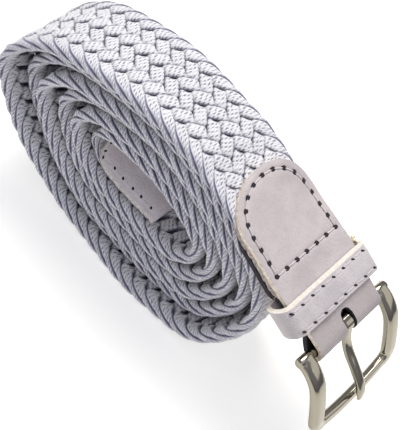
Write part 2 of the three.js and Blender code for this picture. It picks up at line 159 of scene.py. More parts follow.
def closed_curve(points, share):
    """A smooth closed curve through evenly counted points, at shares of its round"""
    count = len(points)
    place = np.mod(share, 1) * count
    index = np.floor(place).astype(int)
    w = (place - index)[:, None]
    p0, p1, p2, p3 = (points[(index + step) % count] for step in (-1, 0, 1, 2))
    return hermite(p1, p2, (p2 - p0) / 2, (p3 - p1) / 2, w)


def open_curve(points, per_span=60):
    """A smooth curve through points, closely spaced, as (distances, places)"""
    points = np.array(points, float)
    ends = [2 * points[0] - points[1], *points, 2 * points[-1] - points[-2]]
    w = np.linspace(0, 1, per_span, endpoint=False)[:, None]
    rows = []
    for p0, p1, p2, p3 in zip(ends, ends[1:], ends[2:], ends[3:]):
        d0, d1, d2 = (math.sqrt(np.linalg.norm(b - a)) for a, b in ((p0, p1), (p1, p2), (p2, p3)))
        t1 = ((p1 - p0) / d0 - (p2 - p0) / (d0 + d1) + (p2 - p1) / d1) * d1
        t2 = ((p2 - p1) / d1 - (p3 - p1) / (d1 + d2) + (p3 - p2) / d2) * d1
        rows.append(hermite(p1, p2, t1, t2, w))
    places = np.vstack([*rows, points[-1:]])
    return run_along(places), places


# The belt's path

def tab_line(along, out):
    """A place on the buckle's leather in X and Z"""
    x = BAR_X - along * math.cos(TAB_SLOPE) + out * math.sin(TAB_SLOPE)
    z = BAR_Z + along * math.sin(TAB_SLOPE) + out * math.cos(TAB_SLOPE)
    return np.stack([x, z], -1)


def roll_rows():
    """Places, headings and sideways pushes along the roll, from the tail outwards"""
    steps = (ROLL_STATIONS[:, 0:2] - ROLL_STATIONS[:, 2:4]) / ROLL_STATIONS[:, 4:5]
    shares = np.arange(len(ROLL_STATIONS))[:, None] / len(ROLL_STATIONS)
    bases = ROLL_STATIONS[:, 2:4] - steps * shares

    def roll_point(turn):
        return closed_curve(bases, turn) + closed_curve(steps, turn) * turn[:, None]

    turns = np.linspace(START_TURN, LEAVE_TURN, ROLL_ROWS)
    heads = unit(roll_point(turns + TURN_STEP) - roll_point(turns - TURN_STEP))
    return roll_point(turns), heads, smooth_steps(turns, TURN_OFFSETS)


def leaving_rows(start, head):
    """Places and headings from the roll to the braid's end below the tab"""
    handle = start + head * LEAVE_HANDLE
    end = tab_line(BRAID_END, BRAID_LINE)
    end_handle = tab_line(BRAID_END + ARRIVE_HANDLE, BRAID_LINE)
    t = np.linspace(0, 1, LEAVE_ROWS)[1:, None]
    u = 1 - t
    places = u ** 3 * start + 3 * u ** 2 * t * handle + 3 * u * t ** 2 * end_handle + t ** 3 * end
    slope = u ** 2 * (handle - start) + 2 * u * t * (end_handle - handle) + t ** 2 * (end - end_handle)
    return places, unit(slope)


def path_table():
    """Distances from the tail, and rows of X, Z, the way out in X and in Z, and the sideways push"""
    places, heads, pushes = roll_rows()
    leaving, leaving_heads = leaving_rows(places[-1], heads[-1])
    # a short straight lead before the tail's end, for the leather that folds over it
    places = np.vstack([places[:1] - heads[:1] * LEAD, places, leaving])
    heads = np.vstack([heads[:1], heads, leaving_heads])
    pushes = np.concatenate([pushes[:1], pushes, np.zeros(len(leaving))])
    return run_along(places) - LEAD, np.column_stack([places, -heads[:, 1], heads[:, 0], pushes])


PATH_DISTANCES, PATH_ROWS = path_table()
BELT_LENGTH = PATH_DISTANCES[-1]


def settle(points):
    """The roll's far side sags, and nothing goes below the floor"""
    x, y, z = points[..., 0], points[..., 1], points[..., 2]
    across = np.clip((y + HALF_WIDTH) / BELT_WIDTH, 0, SAG_REACH)
    sunk = z - smooth_steps(x, SAG_STEPS) * across * smooth(z, SAG_LOW_Z, SAG_HIGH_Z)
    return np.stack([x, y, np.maximum(sunk, 0)], -1)


def belt_point(distance, across, out):
    x, z, out_x, out_z, push = look_up(distance, PATH_DISTANCES, PATH_ROWS)
    return settle(np.stack([x + out_x * out, across + push, z + out_z * out], -1))


def tab_point(along, across, out):
    """A place on the buckle's leather, which follows the belt's path beyond the braid's end"""
    along, across, out = np.broadcast_arrays(along, across, out)
    arch = np.clip((along - ARCH_START) / (TAB_LENGTH - ARCH_START), 0, 1.1) ** ARCH_POWER
    along = along + (ARCH_SKEW * across - ARCH_SHORT) * arch
    across = across * (1 + ARCH_SPREAD * arch) + ARCH_LEAN * arch
    flat = tab_line(along, out)
    straight = settle(np.stack([flat[..., 0], across, flat[..., 1]], -1))
    curved = belt_point(BELT_LENGTH - (along - BRAID_END), across, out - BRAID_LINE)
    return np.where((along > BRAID_END)[..., None], curved, straight)


PRESS_EASE_START = 3.5
PRESS_EASE_END = 8


def press_share(distance):
    """How much of the braid's own thickness is left where leather holds it"""
    head_reach = TAB_LENGTH - BRAID_END
    tail = smooth(distance - TIP_LENGTH, PRESS_EASE_START, PRESS_EASE_END)
    head = smooth(BELT_LENGTH - distance - head_reach, PRESS_EASE_START, PRESS_EASE_END)
    at_tail = blend(TIP_PRESSED, BRAID_THICKNESS, tail)
    at_head = blend(PRESSED_THICKNESS, BRAID_THICKNESS, head)
    return np.minimum(at_tail, at_head) / BRAID_THICKNESS


# Meshes

CRISP_ANGLE = math.radians(42)
BEVEL_ANGLE = math.radians(50)
ARCH_FIRST_ANGLE = 0.06


def new_object(name, data):
    thing = bpy.data.objects.new(name, data)
    bpy.context.scene.collection.objects.link(thing)
    return thing


def make_piece(name, points, faces, materials, body, slot, nodes=(), indexes=None, crisp=False, uv=None,
               **shades):
    """A mesh from points in millimetres and quads; uv and each of the shades have one row for each point.
    A crisp mesh keeps its ridges where flat faces meet."""
    points = (np.asarray(points, float).reshape(-1, 3) - (BOX_CENTRE_X, 0, 0)) * MM
    corners = faces.ravel().astype(np.int32)
    mesh = bpy.data.meshes.new(name)
    mesh.vertices.add(len(points))
    mesh.vertices.foreach_set("co", points.ravel().astype(np.float32))
    mesh.loops.add(len(corners))
    mesh.loops.foreach_set("vertex_index", corners)
    mesh.polygons.add(len(faces))
    mesh.polygons.foreach_set("loop_start", np.arange(0, len(corners), 4, dtype=np.int32))
    mesh.update(calc_edges=True)
    mesh.polygons.foreach_set("use_smooth", np.ones(len(faces), bool))
    if indexes is not None:
        mesh.polygons.foreach_set("material_index", np.asarray(indexes, np.int32))
    if uv is not None:
        layer = mesh.uv_layers.new(name="along")
        layer.data.foreach_set("uv", np.asarray(uv, np.float32)[corners].ravel())
    for label, values in shades.items():
        layer = mesh.attributes.new(label, "FLOAT", "POINT")
        layer.data.foreach_set("value", np.asarray(values, np.float32).ravel())
    mesh.validate()
    if crisp:
        mesh.set_sharp_from_angle(angle=CRISP_ANGLE)
    for material in materials:
        mesh.materials.append(material)
    piece = new_object(name, mesh)
    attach(piece, body)
    if nodes:
        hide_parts(*nodes)
    return piece


def sweep_faces(rings, sides, closed=False):
    """Quads round a row of rings, with both ends capped where the row is open"""
    ring = (np.arange(rings if closed else rings - 1) * sides)[:, None]
    side = np.arange(sides)[None, :]
    after = (side + 1) % sides
    ahead = (ring + sides) % (rings * sides)
    quads = np.stack([ring + side, ahead + side, ahead + after, ring + after], -1).reshape(-1, 4)
    if closed:
        return quads
    fan = np.array([(0, step, step + 1, step + 2) for step in range(1, sides - 2, 2)])
    return np.vstack([quads, fan, (fan + (rings - 1) * sides)[:, ::-1]])


def grid_faces(rows, columns):
    """Quads between the rows of an open grid, one row of quads after the other"""
    corner = (np.arange(rows - 1) * columns)[:, None] + np.arange(columns - 1)[None, :]
    return np.stack([corner, corner + columns, corner + columns + 1, corner + 1], -1)


def outward(points, faces):
    """The faces turned so that the closed skin's normals point out"""
    first, second, third, fourth = (points[faces[:, corner]] - points.mean(0) for corner in range(4))
    volume = np.einsum("ij,ij->", first, np.cross(second, third) + np.cross(third, fourth))
    return faces if volume > 0 else faces[:, ::-1]


def join(parts):
    """Several (points, faces) as one"""
    points, faces, start = [], [], 0
    for part_points, part_faces in parts:
        points.append(part_points)
        faces.append(outward(part_points, part_faces) + start)
        start += len(part_points)
    return np.vstack(points), np.vstack(faces)


def tube(line, radius, sides=8, flat=1.0, up=(0, 0, 1)):
    """A closed tube along a line of points; flat squeezes it along up"""
    ahead = unit(np.gradient(line, axis=0))
    side = unit(np.cross(ahead, up))
    top = np.cross(side, ahead)
    angle = (np.arange(sides) / sides * 2 * math.pi)[None, :, None]
    round_side = side[:, None] * np.cos(angle) + top[:, None] * np.sin(angle) * flat
    points = line[:, None] + round_side * radius
    return points.reshape(-1, 3), sweep_faces(len(line), sides)


def thicken(piece, thickness, bevel, lining_and_slot_shade=0):
    """Gives a sheet the leather's thickness, with its cut edges bevelled"""
    solid = piece.modifiers.new("thickness", "SOLIDIFY")
    solid.thickness = thickness * MM
    solid.offset = 0
    solid.material_offset = lining_and_slot_shade
    solid.material_offset_rim = 1
    edge = piece.modifiers.new("edge", "BEVEL")
    edge.width = bevel * MM
    edge.segments = 2
    edge.limit_method = "ANGLE"
    edge.angle_limit = BEVEL_ANGLE


def arched_rows(total, start, end, count, step):
    """Distances along a strip, close at its arched ends, and the share of its width at each"""
    arch = np.linspace(ARCH_FIRST_ANGLE, math.pi / 2, count)
    first = start * (1 - np.cos(arch))
    last = total - end * (1 - np.cos(arch))[::-1]
    middle = np.arange(first[-1], last[0], step)[1:]
    width = np.concatenate([np.sin(arch), np.ones(len(middle)), np.sin(arch)[::-1]])
    return np.concatenate([first, middle, last]), width


# Materials

def srgb(red, green, blue):
    values = [c / 255 for c in (red, green, blue)]
    linear = [v / 12.92 if v <= 0.04045 else ((v + 0.055) / 1.055) ** 2.4 for v in values]
    return (*linear, 1.0)


class Nodes:
    """A short way to write the nodes of a material or of the world"""

    def __init__(self, owner, shader="Principled BSDF"):
        owner.use_nodes = True
        self.owner = owner
        self.tree = owner.node_tree
        self.shader = self.tree.nodes[shader]

    def put(self, socket, value):
        if isinstance(value, bpy.types.NodeSocket):
            self.tree.links.new(value, socket)
        else:
            socket.default_value = value

    def add(self, kind, inputs=None, **settings):
        node = self.tree.nodes.new("ShaderNode" + kind)
        for key, value in settings.items():
            setattr(node, key, value)
        for key, value in (inputs or {}).items():
            self.put(node.inputs[key], value)
        return node

    def math(self, operation, *values):
        return self.add("Math", dict(enumerate(values)), operation=operation).outputs[0]

    def times(self, first, second):
        return self.math("MULTIPLY", first, second)

    def times_add(self, first, second, third):
        return self.math("MULTIPLY_ADD", first, second, third)

    def off_middle(self, share):
        return self.math("ABSOLUTE", self.math("SUBTRACT", share, 0.5))

    def step(self, value, low, high, to_low=0.0, to_high=1.0):
        """A smooth step from low to high, which falls where low is the larger one"""
        inputs = {"Value": value, "From Min": low, "From Max": high, "To Min": to_low, "To Max": to_high}
        return self.add("MapRange", inputs, interpolation_type="SMOOTHSTEP").outputs["Result"]

    def mix(self, factor, first, second):
        return self.add("Mix", {0: factor, 6: first, 7: second}, data_type="RGBA").outputs[2]

    def noise(self, scale, detail=2.0, roughness=0.5):
        place = self.add("TexCoord").outputs["Object"]
        inputs = {"Vector": place, "Scale": scale, "Detail": detail, "Roughness": roughness}
        return self.add("TexNoise", inputs).outputs["Fac"]

    def bump(self, height, strength, distance):
        inputs = {"Height": height, "Strength": strength, "Distance": distance}
        return self.add("Bump", inputs).outputs["Normal"]

    def attribute(self, name):
        return self.add("Attribute", attribute_name=name).outputs["Fac"]

    def set(self, **values):
        for key, value in values.items():
            self.put(self.shader.inputs[key.replace("_", " ")], value)


def new_material(name):
    return Nodes(bpy.data.materials.new(name))


KNIT_PITCH = 1.4
KNIT_COLUMNS = 1.6
KNIT_SLANT = 0.9
KNIT_WANDER = 0.9
# from where to where each mark of the knit fades in; worn also says between which strengths
DASH_WIDE = (0.44, 0.18)
DASH_LONG = (0.27, 0.08)
DASH_WORN = (0.3, 0.55, 0.4, 1.0)
SEAM_WIDE = (0.28, 0.5)
# where the painted shade along the middle of each rim cord fades in
RIM_MIDDLE_SHADE_WIDE = (0.62, 0.2)
# shade values over which the painted shade in the crevices gives way to the cord's colour
CREVICE_DEPTH = (0.0, 0.92)


def braid_material():
    n = new_material("braid")
    rim = n.attribute("rim")
    uv = n.add("UVMap", uv_map="along").outputs["UV"]
    place = n.add("SeparateXYZ", {"Vector": uv}).outputs

    # the knit's loops: slanted dashes in columns, each column half a loop on from the one before
    column = n.times(place["Y"], KNIT_COLUMNS)
    inside = n.math("FRACT", column)
    slant = n.times_add(inside, KNIT_SLANT, n.math("DIVIDE", place["X"], KNIT_PITCH))
    slant = n.times_add(n.noise(700), KNIT_WANDER, slant)
    loop = n.math("FRACT", n.times_add(n.math("FLOOR", column), 0.5, slant))
    off_column = n.off_middle(inside)
    off_dash = n.times_add(rim, -0.06, n.off_middle(loop))
    dash = n.times(n.step(off_column, *DASH_WIDE), n.step(off_dash, *DASH_LONG))
    dash = n.times(dash, n.step(n.noise(420), *DASH_WORN))
    seam = n.times(n.step(off_column, *SEAM_WIDE), n.times_add(rim, 0.45, 0.2))
    # painted shade along the middle of each cord round the rims, leaving its edges lighter
    rim_middle_shade = n.times(n.step(n.math("ABSOLUTE", place["Y"]), *RIM_MIDDLE_SHADE_WIDE), n.times(rim, 0.2))
    marks = n.math("MAXIMUM", n.times(dash, 0.85), n.math("MAXIMUM", seam, rim_middle_shade))

    fuzz = n.noise(1600, 3, 0.6)
    # painted light and shade: round the belt's rims the open faces are painted lighter, the crevices and the
    # knit's marks darker
    light = n.mix(n.noise(45), srgb(221, 220, 220), srgb(236, 235, 234))
    light = n.mix(rim, light, srgb(248, 247, 250))
    # painted shade in the crevices and where cords pass under others, laid on by the shade attribute
    crevice = n.mix(rim, srgb(90, 88, 106), srgb(66, 62, 96))
    cord = n.mix(n.step(n.attribute("shade"), *CREVICE_DEPTH), crevice, light)
    marked = n.mix(marks, cord, n.mix(rim, srgb(108, 106, 126), srgb(88, 86, 110)))
    final = n.mix(n.times(fuzz, 0.16), marked, srgb(146, 145, 160))

    height = n.math("SUBTRACT", n.times(fuzz, 0.5), n.times(dash, 0.9))
    height = n.times_add(n.math("SUBTRACT", 0.5, off_column), 0.5, height)
    n.set(Base_Color=final, Roughness=0.85, Normal=n.bump(height, 0.8, 0.00028))
    n.set(Sheen_Weight=0.4, Sheen_Roughness=0.5)
    return n.owner


PORE_SCALE = 1500.0


def leather_material(name, light, dark, warm, roughness):
    """Mottled leather with fine pores; the shade attribute darkens it with painted shade"""
    n = new_material(name)
    cells = n.add("TexVoronoi", {"Vector": n.add("TexCoord").outputs["Object"], "Scale": PORE_SCALE})
    pore = n.step(cells.outputs["Distance"], 0.1, 0.6)
    crease = n.noise(420, 5, 0.65)
    mottled = n.mix(n.step(n.noise(120, 4, 0.55), 0.35, 0.7), light, dark)
    clouded = n.mix(n.step(n.noise(34), 0.45, 0.75, 0.0, 0.75), mottled, warm)
    pored = n.mix(n.times(n.step(pore, 1.0, 0.0), 0.12), clouded, srgb(140, 125, 135))
    # painted shade: where the shade attribute is 1, the leather is darkened towards a dark brown
    tone = n.mix(n.attribute("shade"), pored, n.mix(0.35, pored, srgb(112, 102, 100)))
    height = n.math("ADD", n.times(pore, 0.4), crease)
    n.set(Base_Color=tone, Normal=n.bump(height, 0.5, 0.0002), Specular_IOR_Level=0.45)
    n.set(Roughness=n.step(crease, 0.3, 0.7, roughness - 0.08, roughness + 0.1))
    return n.owner


def raw_edge_material(name, light, dark, relief=0.9):
    """Cut leather: loose fibres in pressed layers"""
    n = new_material(name)
    fibre = n.noise(900, 5, 0.7)
    layer = n.step(n.noise(160, 3, 0.6), 0.5, 0.75, 0.0, 0.5)
    tone = n.mix(layer, n.mix(n.step(fibre, 0.38, 0.66), dark, light), dark)
    n.set(Base_Color=tone, Roughness=0.9, Normal=n.bump(fibre, relief, 0.0003))
    return n.owner


def thread_material():
    n = new_material("thread")
    ply = n.noise(2600, 3, 0.6)
    n.set(Base_Color=n.mix(ply, srgb(188, 179, 179), srgb(214, 206, 205)))
    n.set(Roughness=0.7, Normal=n.bump(ply, 0.6, 0.0001))
    return n.owner


def nickel_material():
    n = new_material("nickel")
    cloud = n.noise(70, 3)
    n.set(Base_Color=n.mix(cloud, srgb(148, 142, 126), srgb(170, 164, 148)), Metallic=1.0)
    n.set(Roughness=n.step(n.noise(900, 4, 0.6), 0.3, 0.8, 0.1, 0.18), Normal=n.bump(cloud, 0.12, 0.0006))
    return n.owner


def mottled_material(name, scale, first, second, roughness):
    n = new_material(name)
    n.set(Base_Color=n.mix(n.noise(scale), first, second), Roughness=roughness)
    return n.owner


BRAID = braid_material()
TAB = leather_material("tab_leather", srgb(194, 185, 183), srgb(182, 173, 172), srgb(196, 181, 172), 0.45)
KEEPER = leather_material(
    "keeper_leather", srgb(197, 190, 189), srgb(183, 176, 176), srgb(201, 192, 184), 0.45)
TIP = leather_material("tip_leather", srgb(246, 240, 241), srgb(232, 224, 227), srgb(240, 226, 216), 0.5)
TIP_RIM = raw_edge_material("tip_rim", srgb(216, 208, 200), srgb(170, 162, 158))
KEEPER_RIM = raw_edge_material("keeper_rim", srgb(232, 226, 216), srgb(216, 207, 192), 0.35)
TAB_RIM = raw_edge_material("raw_edge", srgb(246, 238, 222), srgb(214, 196, 174))
# near-black: the black lining of the tab's leather, also used as painted shade on the cut edges round the
# prong's slot
LINING_AND_SLOT_SHADE = raw_edge_material("lining_and_slot_shade", srgb(58, 54, 58), srgb(34, 31, 36))
PRESSED_LAYERS = raw_edge_material("pressed_layers", srgb(214, 203, 190), srgb(160, 150, 146))
THREAD = thread_material()
# painted shade: the stitch holes are coloured near-black for the shade inside them
HOLE = mottled_material("stitch_hole", 1800, srgb(22, 17, 20), srgb(48, 40, 43), 0.9)
NICKEL = nickel_material()
TUFT = mottled_material("tuft", 700, srgb(196, 178, 130), srgb(232, 220, 186), 0.8)


# The braid: cords that run across the belt one way, turn round its rim, and run back.
# A round of a cord is 14 units: 5 between the crossings on the way out, 2 round the far rim,
# 5 on the way back and 2 round the near rim.

CORDS = 11
REPEAT = 5.72
PATTERN_START = 5.3
ROUND = 14
UNIT_STEPS = 60
UNITS = np.linspace(0, ROUND, ROUND * UNIT_STEPS + 1)
# how many repeats of the pattern a cord advances between two crossings, and round a rim
RATE_OUT = 0.41
RATE_BACK = 0.59
RIM_REPEATS = 3
SWAY_OUT = 0.8
SWAY_BACK = 0.5
# where on its way between two crossings a cord changes from the top to below, as shares
SWAP = (0.29, 0.71)
CROSS_HEIGHT_OUT = 1.12
CROSS_HEIGHT_BACK = 0.86
RIM_HEIGHT = 1.25
# units at the crossings on the way out, places across the belt, and 1 where the cord is on top
COLUMN_UNITS = np.array([0.5, 1.5, 2.5, 3.5, 4.5, 5.5])
COLUMN_PLACES = np.array([-13.0, -8.0, -2.6, 2.9, 8.1, 13.1])
OVER = np.array([-1.0, 1, -1, 1, -1, 1])
KNOTS = np.concatenate([COLUMN_UNITS, COLUMN_UNITS + ROUND / 2])
RIM_PLACE = 15.7
# a cord turns round the far rim from the first unit on, and half a round later round the near one
FAR_TURN = COLUMN_UNITS[-1]
NEAR_TURN = FAR_TURN + ROUND / 2
TURN_UNITS = 2
FAR_TURN_END = FAR_TURN + TURN_UNITS
NEAR_TURN_END = NEAR_TURN + TURN_UNITS - ROUND
TURN_EASE = 0.7
ROLL_EARLY = 0.25
EASE_STEPS = 45
MARGIN_STEPS = 30

CORD_HALF_OUT = 2.25
CORD_HALF_BACK = 2.12
CORD_HALF_RIM = 1.05
CORD_THICK_FLAT = 0.95
CORD_THICK_RIM = 1.15
CORD_SIDES = 12
CORD_ANGLES = np.arange(CORD_SIDES) / CORD_SIDES * 2 * math.pi
CORD_END_GAP = 0.3
# powers below 1 make the section boxier; a shallow furrow runs along its middle
BOXY_WIDE = 0.7
BOXY_THICK = 0.75
FURROW = (0.28, 0.25)
SLIM_UNDER = 0.97
SWELL_AT_CROSSING = 0.05
# heights, places across and shares of the width between which a cord's face comes out of its painted shade
OPEN_HEIGHT = (0.7, 1.4)
OPEN_RIM = (14.4, 15.9)
FLAT_EDGE = (0.74, 1.0)
FLAT_EDGE_DARK = 0.6
ROUND_EDGE = (0.42, 0.97)
# first unit, last unit, rings between
LAP_SPANS = [(0, 0.5, 6), (0.5, 5.5, 45), (5.5, 7.5, 28), (7.5, 12.5, 45), (12.5, 14, 22)]
TIP_SQUEEZE = 0.12


def go_round(values, shift=0.0):
    """The values of one round with two of the round before and two of the next one"""
    return np.concatenate([values[-2:] - shift, values, values[:2] + shift])


def eased_table(knot_values, shift=0.0, bulge=0.0):
    """Values at the knots, joined up over one round and rounded at the corners"""
    wide_units = np.arange(-MARGIN_STEPS, ROUND * UNIT_STEPS + MARGIN_STEPS + 1) / UNIT_STEPS
    values = np.interp(wide_units, go_round(KNOTS, ROUND), go_round(knot_values, shift))
    if bulge:
        near_units = np.where(wide_units < NEAR_TURN_END, wide_units + ROUND, wide_units)
        far = np.clip((wide_units - FAR_TURN) / TURN_UNITS, 0, 1)
        near = np.clip((near_units - NEAR_TURN) / TURN_UNITS, 0, 1)
        values = values + (bulge - COLUMN_PLACES[-1]) * np.sin(math.pi * far)
        values = values - (bulge + COLUMN_PLACES[0]) * np.sin(math.pi * near)
    kernel = np.hanning(EASE_STEPS) / np.hanning(EASE_STEPS).sum()
    return np.convolve(values, kernel, "same")[MARGIN_STEPS:-MARGIN_STEPS]


def height_table():
    """1 where a cord lies over the others and -1 where it lies under them"""
    signs = go_round(np.concatenate([OVER, -OVER[::-1]]))
    knots = go_round(KNOTS, ROUND)
    index = np.searchsorted(knots, UNITS, "right") - 1
    gap = knots[index + 1] - knots[index]
    share = (UNITS - knots[index]) / gap
    swapped = np.where(gap > 1, (1 - np.cos(math.pi * share)) / 2, smooth(share, *SWAP))
    return blend(signs[index], signs[index + 1], swapped)


def rolled(start):
    """From 0 to 1 while a cord rolls over, in the turn that starts at a unit"""
    return smooth(UNITS, start - ROLL_EARLY, start + TURN_UNITS + ROLL_EARLY)


def starts(start):
    """From 0 to 1 at the start of a turn"""
    return smooth(UNITS, start, start + TURN_EASE)


def ends(end):
    """From 1 to 0 at the end of a turn"""
    return 1 - smooth(UNITS, end - TURN_EASE, end)


def cord_tables():
    """One round of a cord by units"""
    steps = len(COLUMN_UNITS) - 1
    gaps = [RATE_OUT] * steps + [RIM_REPEATS] + [RATE_BACK] * steps
    passed = np.concatenate([[0], np.cumsum(gaps)])
    places = np.concatenate([COLUMN_PLACES, COLUMN_PLACES[::-1]])
    roll = rolled(NEAR_TURN) - rolled(FAR_TURN) + rolled(NEAR_TURN - ROUND) - 1
    rim = starts(FAR_TURN) * ends(FAR_TURN_END)
    rim = np.clip(rim + starts(NEAR_TURN) + ends(NEAR_TURN_END), 0, 1)
    half_round = ROUND / 2
    sway = np.sin(math.pi * (UNITS - COLUMN_UNITS[1])) * np.where(UNITS > half_round, -SWAY_BACK, SWAY_OUT)
    return {
        "advance": eased_table(passed, CORDS),
        "across": eased_table(places, bulge=RIM_PLACE),
        "height": height_table(),
        "back": smooth(UNITS, half_round - 1, half_round) * (1 - smooth(UNITS, ROUND - 1, ROUND)),
        "roll": math.pi * roll,
        "sway": sway * (1 - rim),
        "rim": rim,
    }


def cord_line(number, tables):
    """The middle line of a cord along the belt, and the value of each table there"""
    rounds = int(BELT_LENGTH / (CORDS * REPEAT)) + 3
    spans = [np.linspace(low, high, count, endpoint=False) for low, high, count in LAP_SPANS]
    lap_units = np.concatenate(spans)
    units = np.tile(lap_units, rounds)
    lap = np.repeat(np.arange(rounds) - 1, len(lap_units))
    at = {key: np.interp(units, UNITS, table) for key, table in tables.items()}
    s = PATTERN_START + REPEAT * (number + CORDS * lap + at["advance"]) + at["sway"]
    keep = (s > CORD_END_GAP) & (s < BELT_LENGTH - CORD_END_GAP)
    at = {key: values[keep] for key, values in at.items()}
    cross_height = blend(CROSS_HEIGHT_OUT, CROSS_HEIGHT_BACK, at["back"])
    height = at["height"] * blend(cross_height, RIM_HEIGHT, at["rim"])
    return np.stack([s[keep], at["across"], height], 1), at


def cord_section(at):
    """Rings of the cord's section, boxy across the belt and round at the rims: place, width and thickness"""
    cosine, sine = np.cos(CORD_ANGLES), np.sin(CORD_ANGLES)
    rim = at["rim"]
    boxy_wide = np.sign(cosine) * np.abs(cosine) ** BOXY_WIDE
    boxy_thick = np.sign(sine) * np.abs(sine) ** BOXY_THICK
    boxy_thick = boxy_thick * (1 + dent(boxy_wide, FURROW))
    wide = blend(boxy_wide, cosine, rim[:, None])
    thick = blend(boxy_thick, sine, rim[:, None])
    half = blend(CORD_HALF_OUT, CORD_HALF_BACK, at["back"])
    half = blend(half, CORD_HALF_RIM, rim)
    half = half * (SLIM_UNDER + SWELL_AT_CROSSING * np.abs(at["height"]) * (1 - rim))
    deep = blend(CORD_THICK_FLAT, CORD_THICK_RIM, rim)
    return wide, half[:, None] * wide, deep[:, None] * thick


def cord_shade(points, wide, rim):
    """Painted shade: 1 on the open faces of a cord, less down in the crevices between cords and where it
    passes under others
    """
    across, height = np.abs(points[..., 1]), np.abs(points[..., 2])
    open_face = np.maximum(smooth(height, *OPEN_HEIGHT), smooth(across, *OPEN_RIM))
    flat_face = 1 - FLAT_EDGE_DARK * smooth(np.abs(wide), *FLAT_EDGE)
    round_face = smooth(np.abs(np.sin(CORD_ANGLES)), *ROUND_EDGE)
    return open_face * blend(flat_face, round_face, rim[:, None])


def make_cord(number, tables):
    centre, at = cord_line(number, tables)
    roll = at["roll"][:, None]
    ahead = unit(np.gradient(centre, axis=0))
    out = unit(np.array([0.0, 0.0, 1.0]) - ahead * ahead[:, 2:3])
    normal = out * np.cos(roll) + np.cross(ahead, out) * np.sin(roll)
    side = np.cross(ahead, normal)
    wide, beside, above = cord_section(at)
    points = centre[:, None] + side[:, None] * beside[..., None] + normal[:, None] * above[..., None]
    # painted shade for the crevices and crossings, which the braid's material reads as its shade attribute
    shade = cord_shade(points, wide, at["rim"])
    squeeze = TIP_SQUEEZE * (1 - smooth(points[..., 0], TIP_LENGTH - 4, TIP_LENGTH + 6))
    places = belt_point(
        points[..., 0], points[..., 1] * (1 - squeeze), points[..., 2] * press_share(points[..., 0]))
    places = places.reshape(-1, 3)
    uv = np.stack(np.broadcast_arrays(run_along(centre)[:, None], wide), -1).reshape(-1, 2)
    faces = outward(places, sweep_faces(len(centre), CORD_SIDES))
    make_piece(f"braid_cord_{number + 1}", places, faces, [BRAID], "belt", "braid", ["braid_band"],
               uv=uv, shade=shade, rim=np.repeat(at["rim"], CORD_SIDES))


def make_braid():
    tables = cord_tables()
    for number in range(CORDS):
        make_cord(number, tables)


# Stitches

THREAD_DEPTH = 0.48
THREAD_RISE = 0.34
THREAD_POWER = 0.6
THREAD_POINTS = 11
# share of the hole's size, height
HOLE_RINGS = [(0.05, 0.0), (0.7, 0.0), (1.0, -0.03), (1.0, -0.5), (0.05, -0.5)]
HOLE_SIDES = 12
HOLE_PINCH = 0.45


def stitch_threads(surface, holes, radius, cover):
    """Threads from hole to hole; surface(first, second, out) gives a place, cover is the share in sight"""
    threads = []
    lift = THREAD_RISE * np.sin(math.pi * np.linspace(0, 1, THREAD_POINTS)) ** THREAD_POWER - THREAD_DEPTH
    share = np.linspace(0.5 - 0.5 * cover, 0.5 + 0.5 * cover, THREAD_POINTS)[:, None]
    for one, two in zip(holes, holes[1:]):
        flat = blend(one, two, share)
        threads.append(tube(surface(flat[:, 0], flat[:, 1], lift), radius))
    return threads


def stitch_holes(surface, holes, long, wide, lean):
    """Sunk holes painted dark for the shade inside them, pinched at one end, turned by lean from the way of
    the stitching
    """
    angle = np.arange(HOLE_SIDES) / HOLE_SIDES * 2 * math.pi
    first = np.cos(angle) * long
    second = np.sin(angle) * (1 - HOLE_PINCH * smooth(np.cos(angle), 0, 1)) * wide
    pits = []
    for index, hole in enumerate(holes):
        x, y = unit(holes[min(index + 1, len(holes) - 1)] - holes[max(index - 1, 0)])
        way = np.array([x * math.cos(lean) - y * math.sin(lean), x * math.sin(lean) + y * math.cos(lean)])
        beside = np.array([-way[1], way[0]])
        rings = []
        for size, out in HOLE_RINGS:
            spot = hole + np.outer(first * size, way) + np.outer(second * size, beside)
            rings.append(surface(spot[:, 0], spot[:, 1], out))
        pits.append((np.vstack(rings), sweep_faces(len(HOLE_RINGS), HOLE_SIDES)))
    return pits


def make_stitches(name, threads, pits, slot):
    counts = [sum(len(faces) for _, faces in parts) for parts in (threads, pits)]
    make_piece(name, *join(threads + pits), [THREAD, HOLE], "belt", slot, indexes=np.repeat([0, 1], counts))


# The tab: one strip of leather from the arch on top, round the bar, to a shorter layer below

FOLD_HALF = 15.4
TAPER_START = 5
TAPER_END = 15
JOINED_START = 5.8
JOINED_END = 17
PARTED_START = 21
LOWER_END = 45
FOLD_DEGREES = np.arange(90, -126, -9)
SLOT_HALF = 2.5
SLOT_REACH = 4.2
SLOT_START = TAB_LENGTH - (SLOT_REACH - SLOT_HALF)
SLOT_END = TAB_LENGTH + math.pi * FOLD_MIDDLE + 3.2
SLOT_BEND = 6.5
SLOT_DARK = 7
SLOT_DARK_SPREAD = 1.6
LOWER_INSET = 0.4
LOWER_ARCH = 12
LOWER_ARCH_POWER = 0.7
DARK_EDGE_START = TAB_LENGTH + 6
SIDE_COLUMNS = 36
SLOT_COLUMNS = 11
TAB_BEVEL = 0.28
# painted shade on the leather round the bar, full near it and gone a little further along the tab
FOLD_SHADE_START = 6.5
FOLD_SHADE_END = 4.0

STITCH_ROW = 24.0
STITCH_HALF = 14.7
STITCH_ROW_HOLES = 7
STITCH_LOOP_GAPS = 16
TAB_THREAD = {"radius": 0.28, "cover": 1.0}
TAB_HOLE = {"long": 1.0, "wide": 0.76, "lean": 0.25}

# depth and width of the rounded edge, the pressed groove and the dents at the stitch holes
TAB_EDGE = (0.3, 1.3)
TAB_GROOVE = (0.34, 0.75)
TAB_DENT = (0.3, 0.45)
RELIEF_START = 21
RELIEF_FULL = 22.5

